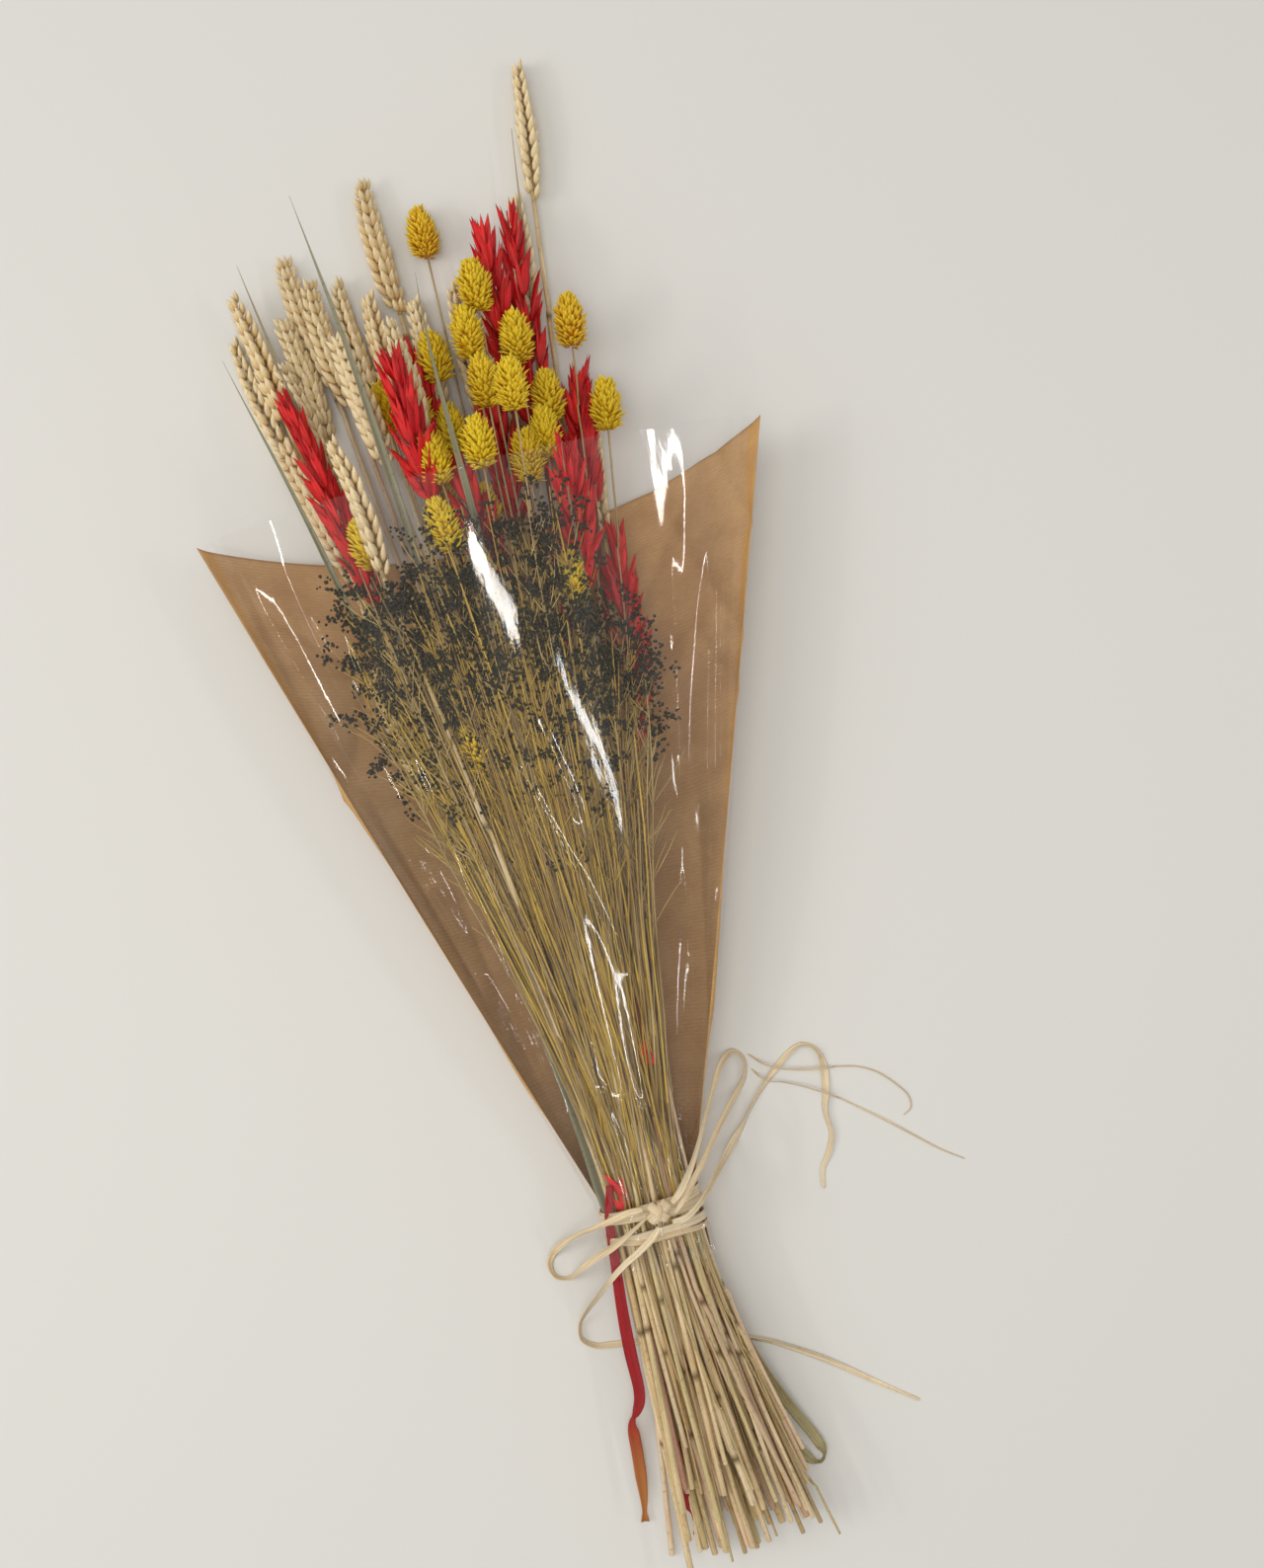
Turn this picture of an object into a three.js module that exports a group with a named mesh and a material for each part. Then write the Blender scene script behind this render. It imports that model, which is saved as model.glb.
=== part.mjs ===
// A tied bunch of dried grasses in a paper and film sleeve, lying on a flat surface.
//
// Millimetres, +Z up. The tie is at Y = 0, the heads lie towards +Y and the cut ends towards -Y.
// Every plant is one closed solid: a stem of round rings, one ring per station along Y, that swells
// into its head. The plants are laid one after another, each resting on those already there, so the
// whole bunch follows when a size changes. At the end the group moves its origin to the bottom centre.

import * as THREE from 'three';

const { clamp, degToRad, lerp, smoothstep } = THREE.MathUtils;

// ---------------------------------------------------------------- driving dimensions

// Sleeve: a paper back and a film front, narrow at the tie and wide at the heads
const sleeveTop = 380;            // from the tie to the film's straight top edge
const sleeveBottom = -27;         // from the tie to the sleeve's lower edge
const paperDip = 30;              // how far the paper's top edge dips at its middle
const neckHalfWidth = 25.5;
const neckLength = 10;            // straight part of the neck above the tie
const topHalfWidth = 146;
const neckStrip = 8;              // half width of the paper's flat strip, at the neck
const topStrip = 45;              // and at its top edge
const neckTurn = 90;              // degrees that each side of the paper turns up, at the neck
const topTurn = 38;               // and at its top edge
const paperLanding = 60;          // from the tie to where the paper lies flat on the surface
const paperThickness = 0.8;
const filmThickness = 0.6;

// Tie: one raffia strand wound round the neck and tied in a bow
const strandWidth = 5;            // along the neck
const strandThickness = 1.2;
const strandDiameter = 3.6;       // of its free loops and tails
const threadDiameter = 1.4;       // of the fibres that split off
const upperTurn = 3;              // middle of each turn round the neck, along Y
const lowerTurn = -9.5;
const knotSize = [7, 5.5, 3.5];   // half sizes of the knot
const knotPlace = [4, 3];         // its middle, along X and Y

// Plants
const shortestFoot = 135;         // cut ends, below the tie
const longestFoot = 187;
const footLean = 10;              // how far the cut ends lie to the right of the tie
const footSpread = 1.6;           // how much wider than the neck they spread
const footStation = 150;          // where footLean and footSpread are measured, below the tie
const neckBend = 60;              // length over which a stem turns from the neck into the fan
const steepestFall = 0.12;        // most that a stem slopes down below the tie
const mostDroop = 0.02;           // most that a head sags below a level stem
const earLength = 76;
const earRadius = 6.2;
const spikeLength = 28;
const spikeRadius = 7.6;
const panicleRadius = 8;
const plumeRadius = 8.5;
const filmEase = 2;               // slack of the film over the neck
const strandSides = 8;
const stepDiameters = 2.2;        // length of a step along a free strand
const mostSteps = 40;
const filmRoundness = 0.75;       // of its section at the top edge: 0.5 is an ellipse, 1 a parabola
const filmColumns = 16;
const stemSides = 5;
const leafSag = 0.001;            // how much a low leaf droops towards its end
const sideInset = 6;              // from the side of the neck to a low leaf's middle
const bladeStem = 0.7;            // a leaf's width at its lower end, as a share of its full width
const bladeTaper = 0.5;           // share of a leaf's length over which it tapers
const bladeFlatness = 0.22;       // a leaf's thickness as a share of its width

// Clearances
const meshGap = 0.3;              // between pieces that touch
const stalkGap = 0.45;            // between plants, and from a plant to the paper
const filmGap = 1.2;              // from a plant to the film, whose flat facets cut in a little

// ---------------------------------------------------------------- sleeve sections

const tieGap = meshGap + 0.1;
const tieHeight = strandThickness + tieGap;   // the turns pass under the neck and lift it by this

/** Sizes of the paper's cross-section at y: half width, flat strip, turned-up side and lift. */
function sleeveSection(y) {
  const share = clamp((y - neckLength) / (sleeveTop - neckLength), 0, 1);
  const half = lerp(neckHalfWidth, topHalfWidth, share);
  const strip = lerp(neckStrip, topStrip, share);
  const turn = degToRad(lerp(neckTurn, topTurn, share));
  const radius = (half - strip) / Math.sin(turn);
  const lift = tieHeight * (1 - smoothstep(y, neckLength, paperLanding));
  const edge = lift + radius * (1 - Math.cos(turn)) + paperThickness * Math.cos(turn);
  return { share, half, strip, turn, radius, lift, edge };
}

/** Y of a point of the paper on the row that meets the side edge at rowY; across runs from -1 to 1. */
function paperRowY(rowY, across) {
  const share = clamp((rowY - paperLanding) / (sleeveTop - paperLanding), 0, 1);
  return rowY - paperDip * (1 - across * across) * share * share;
}

/** Height of the paper's upper face at (x, y), or Infinity past its side edge. */
function paperHeight(x, y) {
  const { half, strip, turn, radius, lift } = sleeveSection(y);
  if (y > paperRowY(sleeveTop, x / half)) return 0;
  const out = Math.abs(x) - strip;
  if (out <= 0) return lift + paperThickness;
  const inner = radius - paperThickness;
  if (out >= inner * Math.sin(turn)) return Infinity;
  return lift + radius - Math.sqrt(inner * inner - out * out);
}

/** Height of the film's lower face at (x, y) for a given height of its crown. */
function filmHeight(x, y, crown) {
  const { share, half, edge } = sleeveSection(y);
  const low = edge + meshGap;
  const inside = Math.max(0, 1 - (x / half) ** 2);
  return low + (crown - low) * inside ** lerp(0.5, filmRoundness, share);
}

/** The crown height at which the film just clears a disc of the given radius at (x, z) on plane y. */
function crownOver(x, y, z, radius) {
  const { share, half, edge } = sleeveSection(y);
  const low = edge + meshGap;
  let crown = low;
  for (const lean of leans) {
    const sideways = x + radius * Math.sin(degToRad(lean));
    const inside = 1 - (sideways / half) ** 2;
    if (inside <= 0) return Infinity;
    const top = z + radius * Math.cos(degToRad(lean));
    crown = Math.max(crown, low + (top - low) / inside ** lerp(0.5, filmRoundness, share));
  }
  return crown;
}

// ---------------------------------------------------------------- laying the plants

const planeStep = 2.5;
const stations = [
  -160, -120, -80, -50, -25, 0, 25, 50, 80, 120, 160, 200, 250, 300, 350, 400, 450, 500, 550, 600,
];
const ringRoom = 8;               // a stem's ring stays this far from its ends
const coursesFrom = -200;         // every course is laid out between these two places along Y
const coursesTo = 650;
const pathStations = [coursesFrom, ...stations, coursesTo];
const planes = [];
for (let y = -longestFoot - planeStep; y < coursesTo; y += planeStep) planes.push({ y, discs: [] });

// Directions in which a round stem is tried against a curved surface, in degrees from straight up
const leans = [-60, -30, 0, 30, 60];

/** 0 at the tie, rising to a slope of 1 away from it: the path of a stem that bends out of the neck. */
const bendOut = (y) => Math.sqrt(y * y + neckBend * neckBend) - neckBend;

/** Value at y on a line of {y, ...} points, for the named key. */
function along(points, y, key) {
  let k = 1;
  while (k < points.length - 1 && points[k].y < y) k += 1;
  const share = clamp((y - points[k - 1].y) / (points[k].y - points[k - 1].y), 0, 1);
  return lerp(points[k - 1][key], points[k][key], share);
}

/** Whether a plant reaches plane y, or ends just short of it. */
const isAt = ({ foot, tip }, y) => y > foot - planeStep && y < tip + planeStep;

/** Rings of a plant from its foot to its tip: its stem, then its head's shape. */
function ringsOf({ foot, tip, stem, head }) {
  const base = tip - head.length;
  const stemRings = stations.filter((y) => y > foot + ringRoom && y < base - ringRoom);
  const rings = [foot, ...stemRings].map((y) => ({ y, r: lerp(...stem, (y - foot) / (base - foot)) }));
  for (const [share, size] of head.shape) {
    rings.push({ y: base + share * head.length, r: size * head.radius });
  }
  rings.push({ y: tip, r: 0 });
  return rings;
}

/** Lowest height for the middle of a disc on plane y, over the surface, the paper and a tail there. */
function ground(x, y, radius) {
  const clear = radius + stalkGap;
  const overTail = y > tailCrossing[0] && y < tailCrossing[1] ? strandDiameter + meshGap : 0;
  if (y < sleeveBottom) return clear + overTail;
  let height = clear;
  for (const lean of leans) {
    const sideways = clear * Math.sin(degToRad(lean));
    height = Math.max(height, paperHeight(x + sideways, y) + clear * Math.cos(degToRad(lean)));
  }
  return height;
}

/** Lowest height for the middle of a disc on a plane, resting on the ground and on the plants there. */
function restingHeight(x, plane, radius) {
  let height = ground(x, plane.y, radius);
  for (const disc of plane.discs) {
    const reach = radius + disc.r + stalkGap;
    const aside = Math.abs(x - disc.x);
    if (aside < reach) height = Math.max(height, disc.z + Math.sqrt(reach * reach - aside * aside));
  }
  return height;
}

/** The paths of a plant that passes the neck at slot and rests on what is already laid. */
function pathsFrom(plant, rings, slot) {
  const footSlope = (plant.footX ?? footLean + footSpread * slot) - slot;
  const footReach = bendOut(plant.footX === undefined ? footStation : plant.foot);
  const headSlope = (plant.tipX - slot) / bendOut(plant.tip);
  const sideways = (y) => slot + bendOut(y) * (y < 0 ? footSlope / footReach : headSlope);
  const course = pathStations.map((y) => ({ y, x: sideways(y) }));
  const rests = planes.filter(({ y }) => isAt(plant, y)).map((plane) => {
    const radius = along(rings, plane.y, 'r');
    return { y: plane.y, z: restingHeight(along(course, plane.y, 'x'), plane, radius), radius };
  });
  const inNeck = rests.filter(({ y }) => Math.abs(y) < neckHold);
  const paths = [];
  for (const lift of neckLifts) {
    const hold = lift + Math.max(...inNeck.map(({ z }) => z));
    for (const sag of sags) {
      const ease = (y) => (y < 0 ? plant.footSag ?? 0 : sag) * bendOut(y) ** 2;
      const slope = ({ y, z }) => (z - hold + ease(y)) / bendOut(y);
      const up = Math.max(-mostDroop, ...rests.filter(({ y }) => y > 0).map(slope));
      const down = Math.max(-steepestFall, ...rests.filter(({ y }) => y < 0).map(slope));
      const height = (y) => hold + bendOut(y) * (y < 0 ? down : up) - ease(y);
      const crown = Math.max(...inNeck.map(({ y, radius }) => crownOver(slot, y, hold, radius + filmGap)));
      const peak = Math.max(...pathStations.filter((y) => y > 0 && y < plant.tip).map(height), hold);
      paths.push({ slot, course, height, crown, peak });
    }
  }
  return paths;
}

const neckHold = 30;              // a stem stays level this far from the tie
const neckLifts = [0, 1.5, 3, 5]; // how much higher than its lowest place a stem may pass the neck
const sags = [0, 0.0002, 0.0004]; // how much a stem's slope eases along its length
const crownCost = 0.5;            // what a path costs for each millimetre of the neck's height,
const peakCost = 0.4;             // of its own highest point
const asideCost = 0.3;            // and of its distance from the place it aims at in the neck
const slotStep = 1;
const slotRoom = neckHalfWidth - paperThickness - stalkGap;
const aimAngle = 12;              // a plant that leans this far aims at the edge of the neck
const aimShare = 0.8;             // where that edge is, as a share of the neck's half width

/** Lays one plant along the path that keeps the neck and its head low and its stem on its own side. */
function lay(plant) {
  const rings = ringsOf(plant);
  const aim = clamp(plant.angle / aimAngle, -1, 1) * aimShare * neckHalfWidth;
  const room = Math.floor((slotRoom - along(rings, 0, 'r')) / slotStep) * slotStep;
  const [firstSlot, lastSlot] = plant.slot === undefined ? [-room, room] : [plant.slot, plant.slot];
  const cost = ({ crown, peak, slot }) => (
    crownCost * crown + peakCost * peak + asideCost * Math.abs(slot - aim)
  );
  let best = null;
  for (let slot = firstSlot; slot <= lastSlot; slot += slotStep) {
    for (const path of pathsFrom(plant, rings, slot)) {
      if (!best || cost(path) < cost(best)) best = path;
    }
  }
  const knots = best.course.map(({ y, x }) => ({ y, x, z: best.height(y) }));
  for (const { y, discs } of planes.filter((plane) => isAt(plant, plane.y))) {
    discs.push({ x: along(knots, y, 'x'), z: along(knots, y, 'z'), r: along(rings, y, 'r') });
  }
  return { ...plant, rings, knots, crown: best.crown };
}

// ---------------------------------------------------------------- the plants, by kind

// Share of the head's length from its base, and radius there as a share of the head's radius
const earShape = [[0, 0.3], [0.12, 0.85], [0.45, 1], [0.85, 0.75]];
const spikeShape = [[0, 0.35], [0.16, 0.85], [0.45, 1], [0.75, 0.8], [0.93, 0.4]];
const panicleShape = [[0, 0.15], [0.25, 0.7], [0.6, 1], [0.85, 0.55]];
const plumeShape = [[0, 0.16], [0.4, 0.6], [0.75, 1], [0.93, 0.7]];
const bladeShape = [[0, 1], [0.5, 0.8], [0.85, 0.45]];

const kinds = {
  wheat: { stem: [1.9, 1.1], color: 0xcdb583, roughness: 0.75, shape: earShape },
  canary: { stem: [1.4, 0.8], color: 0xd7b414, roughness: 0.9, shape: spikeShape },
  oat: { stem: [1.8, 1.0], color: 0xb81018, roughness: 0.6, shape: panicleShape },
  broom: { stem: [1.8, 1.6], color: 0x4a4526, roughness: 0.95, shape: plumeShape },
  blade: { stem: [2, 2.4], color: 0xa39a7c, roughness: 0.8, shape: bladeShape },
};

// Ears of wheat: the angle and reach of the tip from the tie, in degrees and millimetres
const wheat = [
  [-12.5, 502], [-11.5, 520], [-10.5, 475], [-8, 530], [-7, 512], [-5.5, 510], [-4, 498], [-2.5, 555],
  [-1.5, 490], [1, 492], [5.5, 532], [6.5, 600], [9, 420], [-14.5, 315], [-3, 470], [-9, 420],
];

// Canary grass: the angle and reach of the head's middle
const canary = [
  [0, 517], [2.5, 476], [8, 455], [1.5, 453], [4.5, 448], [-1, 450], [-5, 431], [-3, 424], [2, 426],
  [6, 418], [10, 411], [-1, 410], [5.5, 398], [4, 386], [-3, 375], [0, 366], [7, 349], [-9.5, 365],
];

// Red oats: the angle, reach and length of the panicle, from its tip
const oat = [
  [5, 528, 145], [3.5, 518, 95], [-11, 462, 125], [-3, 469, 90], [8.5, 441, 80], [10, 360, 130],
];

// Dark broom: the angle, reach and length of each plume, from its tip
const broom = [[10.5, 270, 110], [-10.5, 335, 150], [-3, 345, 150], [3.5, 375, 160]];

// Grass leaves: angle and reach of the upper end, half width, and where the lower end lies.
// The two low ones are held at the sides of the neck and end in it; their lower ends hang out this far
// past the sides.
const sideSlot = neckHalfWidth - sideInset;
const leaves = [
  { name: 'leaf_grey', angle: -10, reach: 525, half: 2.2, foot: -20, color: 0x9c9478 },
  { name: 'leaf_bent', angle: 6, reach: 560, half: 2, foot: -20, color: 0xb49a66 },
  { name: 'leaf_wide', angle: -11.5, reach: 330, half: 3.2, foot: -20, color: 0x8f8e72 },
  {
    name: 'leaf_red', side: -1, angle: -12, reach: 32, half: 2.8, foot: -163, hang: 22.5,
    color: 0x8a1414,
  },
  {
    name: 'leaf_folded', side: 1, angle: 12, reach: 30, half: 2.8, foot: -152, hang: 28.5,
    color: 0x8d8145,
  },
];

const golden = 0.618034;
const number = (k) => String(k + 1).padStart(2, '0');

/** A plant of one kind from the angle and reach of its tip; its cut end takes the k-th foot length. */
function plantOf(kind, k, angle, reach, head) {
  const turned = degToRad(angle);
  const tip = reach * Math.cos(turned);
  const foot = -lerp(shortestFoot, longestFoot, ((k + 1) * golden) % 1);
  const { stem, shape, color, roughness } = kinds[kind];
  return {
    name: `${kind}_${number(k)}`, angle, tip, tipX: reach * Math.sin(turned), foot, stem,
    head: { shape, ...head }, flatness: 1, color, roughness,
  };
}

const wheatPlants = wheat.map(([angle, reach], k) => (
  plantOf('wheat', k, angle, reach, { length: earLength, radius: earRadius })
));
const canaryPlants = canary.map(([angle, reach], k) => (
  plantOf('canary', k, angle, reach + spikeLength / 2, { length: spikeLength, radius: spikeRadius })
));
const oatPlants = oat.map(([angle, reach, length], k) => (
  plantOf('oat', k, angle, reach, { length, radius: panicleRadius })
));
const broomPlants = broom.map(([angle, reach, length], k) => (
  plantOf('broom', k, angle, reach, { length, radius: plumeRadius })
));
const bladePlants = leaves.map(({ name, side, angle, reach, half, foot, hang, color }, k) => {
  const blade = plantOf('blade', k, angle, reach, { length: 0, radius: half });
  const slot = side && side * sideSlot;
  const footX = side && side * (sideSlot + hang);
  return {
    ...blade, name, slot, foot, footX, color, flatness: bladeFlatness, stem: [half * bladeStem, half],
    tipX: slot ?? blade.tipX, footSag: slot ? leafSag : 0,
    head: { ...blade.head, length: (blade.tip - foot) * bladeTaper },
  };
});

// The tail of the bow passes under the stems between these two places along Y
const tailCrossing = [-88, -60];

const backWheat = wheatPlants.slice(0, 13);
const frontWheat = wheatPlants.slice(13);
const [rightPlume, leftPlume, ...middlePlumes] = broomPlants;
const lowLeaves = bladePlants.filter(({ slot }) => slot !== undefined);
const highLeaves = bladePlants.filter(({ slot }) => slot === undefined);
const bottomUp = [
  ...lowLeaves, ...backWheat, ...highLeaves, ...oatPlants, leftPlume, ...canaryPlants, ...frontWheat,
  rightPlume, ...middlePlumes,
];
const laidPlants = bottomUp.map(lay);

// ---------------------------------------------------------------- solids

/** A mesh with its own material. */
function piece(name, geometry, color, roughness = 0.8) {
  const material = new THREE.MeshStandardMaterial({ color, roughness, metalness: 0 });
  const mesh = new THREE.Mesh(geometry, material);
  mesh.name = name;
  return mesh;
}

/** A plant's solid: a turned profile of its rings, moved ring by ring onto its path. */
function plantSolid({ name, rings, knots, foot, flatness, color, roughness }) {
  const outline = [[0, foot], ...rings.map(({ y, r }) => [r, y])].map(([r, y]) => new THREE.Vector2(r, y));
  const geometry = new THREE.LatheGeometry(outline, stemSides);
  const position = geometry.attributes.position;
  for (let k = 0; k < position.count; k += 1) {
    const y = position.getY(k);
    position.setX(k, position.getX(k) + along(knots, y, 'x'));
    position.setZ(k, position.getZ(k) * flatness + along(knots, y, 'z'));
  }
  return piece(name, geometry, color, roughness);
}

/** A closed body: point j of each loop joins point j of the next; the ends are capped or joined. */
function loopedSolid(loops, joined = false) {
  const count = loops[0].length;
  const index = [];
  const bands = joined ? loops.length : loops.length - 1;
  for (let i = 0; i < bands; i += 1) {
    for (let j = 0; j < count; j += 1) {
      const a = i * count + j;
      const b = i * count + ((j + 1) % count);
      const up = ((i + 1) % loops.length - i) * count;
      index.push(a, b, b + up, a, b + up, a + up);
    }
  }
  if (!joined) {
    const last = (loops.length - 1) * count;
    for (let j = 1; j < count / 2; j += 1) {
      const [a, b, c, d] = [j - 1, j, count - 1 - j, count - j];
      index.push(a, c, b, a, d, c);
      index.push(last + a, last + b, last + c, last + a, last + c, last + d);
    }
  }
  const geometry = new THREE.BufferGeometry();
  geometry.setAttribute('position', new THREE.Float32BufferAttribute(loops.flat(2), 3));
  geometry.setIndex(index);
  return geometry;
}

/** A sheet's solid: on each row, its upper points from left to right and its lower points back. */
function sheetSolid(rows) {
  return loopedSolid(rows.map(({ upper, lower }) => [...upper, ...lower.toReversed()]));
}

const sideColumns = [1, 5 / 6, 4 / 6, 3 / 6, 2 / 6, 1 / 6];
const paperColumns = [
  ...sideColumns.map((share) => ({ side: -1, share })), { side: -1, share: 0 },
  { side: 1, share: 0 }, ...sideColumns.toReversed().map((share) => ({ side: 1, share })),
];
const sleeveRows = [
  sleeveBottom, -12, 0, neckLength, 22, 35, 48, paperLanding, 100, 150, 200, 250, 300, 340, sleeveTop,
];

/** A point of the paper: side and share pick it across, depth is how far inside the outer face it is. */
function paperPoint(rowY, { side, share }, depth) {
  const edge = sleeveSection(rowY);
  const length = edge.strip + edge.radius * edge.turn;
  const y = paperRowY(rowY, (edge.strip + share * edge.radius * edge.turn) / length);
  const { strip, turn, radius, lift } = sleeveSection(y);
  const angle = share * turn;
  const x = strip + (radius - depth) * Math.sin(angle);
  return [side * x, y, lift + radius - (radius - depth) * Math.cos(angle)];
}

function paperBack() {
  return sheetSolid(sleeveRows.map((rowY) => ({
    upper: paperColumns.map((column) => paperPoint(rowY, column, paperThickness)),
    lower: paperColumns.map((column) => paperPoint(rowY, column, 0)),
  })));
}

// The film's crown is level over the neck and then rises in a line that just clears every plant
const neckCrown = Math.max(...laidPlants.map(({ crown }) => crown)) + filmEase;
const underFilm = planes.filter(({ y }) => y > neckHold && y < sleeveTop + planeStep);
const filmSlope = Math.max(...underFilm.flatMap(({ y, discs }) => (
  discs.map(({ x, z, r }) => (crownOver(x, y, z, r + filmGap) - neckCrown) / bendOut(y))
)));
const filmCrown = (y) => neckCrown + filmSlope * bendOut(Math.max(y, 0));

const filmTurns = Array.from({ length: filmColumns + 1 }, (_, k) => lerp(-90, 90, k / filmColumns));
const slopeStep = 0.5;            // degrees on each side of a point over which its slope is taken

/** A point of the film: turn runs from -90 to 90 degrees across it, depth is out from its lower face. */
function filmPoint(y, turn, depth) {
  const at = (angle) => {
    const x = sleeveSection(y).half * Math.sin(degToRad(angle));
    return new THREE.Vector2(x, filmHeight(x, y, filmCrown(y)));
  };
  const here = at(turn);
  const slope = at(Math.min(turn + slopeStep, 90)).sub(at(Math.max(turn - slopeStep, -90))).normalize();
  return [here.x - slope.y * depth, y, here.y + slope.x * depth];
}

function filmFront() {
  return sheetSolid(sleeveRows.map((y) => ({
    upper: filmTurns.map((turn) => filmPoint(y, turn, filmThickness)),
    lower: filmTurns.map((turn) => filmPoint(y, turn, 0)),
  })));
}

/** A turn of the strand round the neck: a flat band that follows the paper below and the film above. */
function neckTurnOf(middle) {
  const section = sleeveSection(middle);
  const below = paperColumns.slice(1, -1).map(({ side, share }) => {
    const angle = share * section.turn;
    const [x, , z] = paperPoint(middle, { side, share }, 0);
    return { x, z, out: [side * Math.sin(angle), -Math.cos(angle)] };
  });
  const above = filmTurns.toReversed().map((turn) => {
    const [x, , z] = filmPoint(middle, turn, filmThickness);
    const [innerX, , innerZ] = filmPoint(middle, turn, 0);
    return { x, z, out: [(x - innerX) / filmThickness, (z - innerZ) / filmThickness] };
  });
  const outline = [...below, ...above];
  const loops = outline.map(({ x, z, out }) => (
    [[-0.5, 0], [-0.5, 1], [0.5, 1], [0.5, 0]].map(([side, level]) => {
      const depth = tieGap + level * strandThickness;
      return [x + out[0] * depth, middle + side * strandWidth, z + out[1] * depth];
    })
  ));
  return loopedSolid(loops, true);
}

/** Top of the strand's turns, at the crown of the neck. */
const tieTop = neckCrown + filmThickness + tieHeight;

function knot() {
  const geometry = new THREE.SphereGeometry(1, 10, 8);
  geometry.rotateX(Math.PI / 2);
  geometry.scale(...knotSize);
  return geometry.translate(...knotPlace, tieTop + meshGap + knotSize[2]);
}

// Free strands of the bow and the fibres split from them: each route runs away from the knot
const strands = {
  raffia_loop_left: {
    diameter: strandDiameter,
    route: [
      [-3.6, 6, 43], [-12, 5.5, 43.5], [-21, 3, 40], [-30, -0.5, 31], [-39, -4, 20], [-48, -8.5, 10],
      [-55, -13.5, 4], [-59, -20, 2.4], [-57, -27, 2.3], [-50, -28.5, 4],
      [-42, -23, 12.5], [-33, -16.5, 24],
      [-24, -11, 35.5], [-14, -5, 41.8], [-3.6, 0.8, 43],
    ],
  },
  raffia_loop_right: {
    diameter: strandDiameter,
    route: [
      [11.5, 5.8, 43], [17, 11, 44], [24, 20, 42], [31, 31, 37.5],
      [38, 43, 32], [45, 54, 21], [52, 63, 9.5],
      [59, 66.5, 3], [64, 61, 2.2], [62, 52, 2.2], [55.5, 45, 5],
      [48, 38, 14], [40, 30, 25.5], [32, 21, 34],
      [23, 11.5, 39.5], [16, 4.5, 42.5], [11.6, 0.6, 43],
    ],
  },
  raffia_tail_upper: {
    diameter: strandDiameter,
    route: [
      [9.5, -3.4, 43], [17, -3, 42], [25, 1, 36], [33, 7, 25],
      [41, 14, 13], [48, 20.5, 4.8], [54, 26.5, 2.2],
      [60, 34, 2.1], [68, 43, 2.1], [77, 51, 2.1], [87, 58.5, 2.1], [95, 61.5, 2.1], [101.5, 57, 2.1],
      [103.5, 48, 2.1], [102, 36, 2.1], [99, 25, 2.1], [99.5, 13, 2.1], [96, 4, 2.1], [91, -4, 2.1],
      [89, -14, 2.1],
    ],
  },
  raffia_tail_lower: {
    diameter: strandDiameter,
    route: [
      [2.5, -4.8, 43], [-3, -10, 42.5], [-10.5, -15, 41.5], [-19, -20.5, 36.5],
      [-28, -28, 29], [-37, -37.5, 17.5],
      [-45.5, -46.5, 7], [-51, -54, 2.6], [-51.5, -61.5, 2.1], [-45.5, -66.5, 2.1], [-37, -68, 2.1],
      [-27, -69.5, 2.1], [-14, -71.5, 2.1], [0, -73.5, 2.1], [14, -75.5, 2.1],
      [28, -78.5, 2.1], [42, -84, 2.1],
      [55, -91.5, 2.1], [68, -100, 2.1], [82, -110.5, 2.1], [97, -122, 2.1], [112, -133, 2.1],
    ],
  },
  raffia_thread_long: {
    diameter: threadDiameter,
    route: [
      [66.6, 55, 1.2], [70, 50.6, 4.5], [73.5, 47.8, 5.3], [80, 45.5, 3.5],
      [90, 41, 3.8], [101.5, 34.4, 5.3],
      [109, 28.8, 2.5], [118, 21.5, 1], [128, 13.5, 1], [140, 3, 1], [152, -7.5, 1], [164, -16, 1],
    ],
  },
  raffia_thread_curled: {
    diameter: threadDiameter,
    route: [
      [66.6, 63, 1.2], [73, 57, 4.2], [80, 53.2, 5.3], [86, 51, 4.2], [94, 49, 4.6], [103, 47.6, 5.3],
      [111, 46, 2.4], [121, 43.5, 1], [130, 38.5, 1], [137.5, 31, 1], [143, 23, 1], [143, 16.5, 1],
      [138.5, 13.5, 1],
    ],
  },
};

/** A free strand: a round section carried along its route, in steps of a few diameters. */
function strandSolid({ diameter, route }) {
  const points = route.map((point) => new THREE.Vector3(...point));
  const path = new THREE.CatmullRomCurve3(points, false, 'centripetal');
  const corners = Array.from({ length: strandSides }, (_, k) => {
    const angle = (2 * Math.PI * k) / strandSides;
    return new THREE.Vector2(Math.cos(angle), Math.sin(angle)).multiplyScalar(diameter / 2);
  });
  const steps = Math.min(mostSteps, Math.round(path.getLength() / (stepDiameters * diameter)));
  const settings = { steps, extrudePath: path, bevelEnabled: false };
  return new THREE.ExtrudeGeometry(new THREE.Shape(corners), settings);
}

const parts = [
  ...laidPlants.map(plantSolid),
  piece('kraft_back', paperBack(), 0xa57d55, 0.85),
  piece('film_front', filmFront(), 0xe6ecf0, 0.1),
  piece('raffia_turn_upper', neckTurnOf(upperTurn), 0xd7be91),
  piece('raffia_turn_lower', neckTurnOf(lowerTurn), 0xd7be91),
  piece('raffia_knot', knot(), 0xd2b888),
];

const freeStrands = Object.entries(strands).map(([name, strand]) => (
  piece(name, strandSolid(strand), 0xdcc598)
));

const bunch = new THREE.Group();
bunch.add(...parts, ...freeStrands);

const box = new THREE.Box3();
parts.forEach((part) => box.expandByObject(part));
const middle = box.getCenter(new THREE.Vector3());
bunch.position.set(-middle.x, -middle.y, -box.min.z);

export default bunch;
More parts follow.
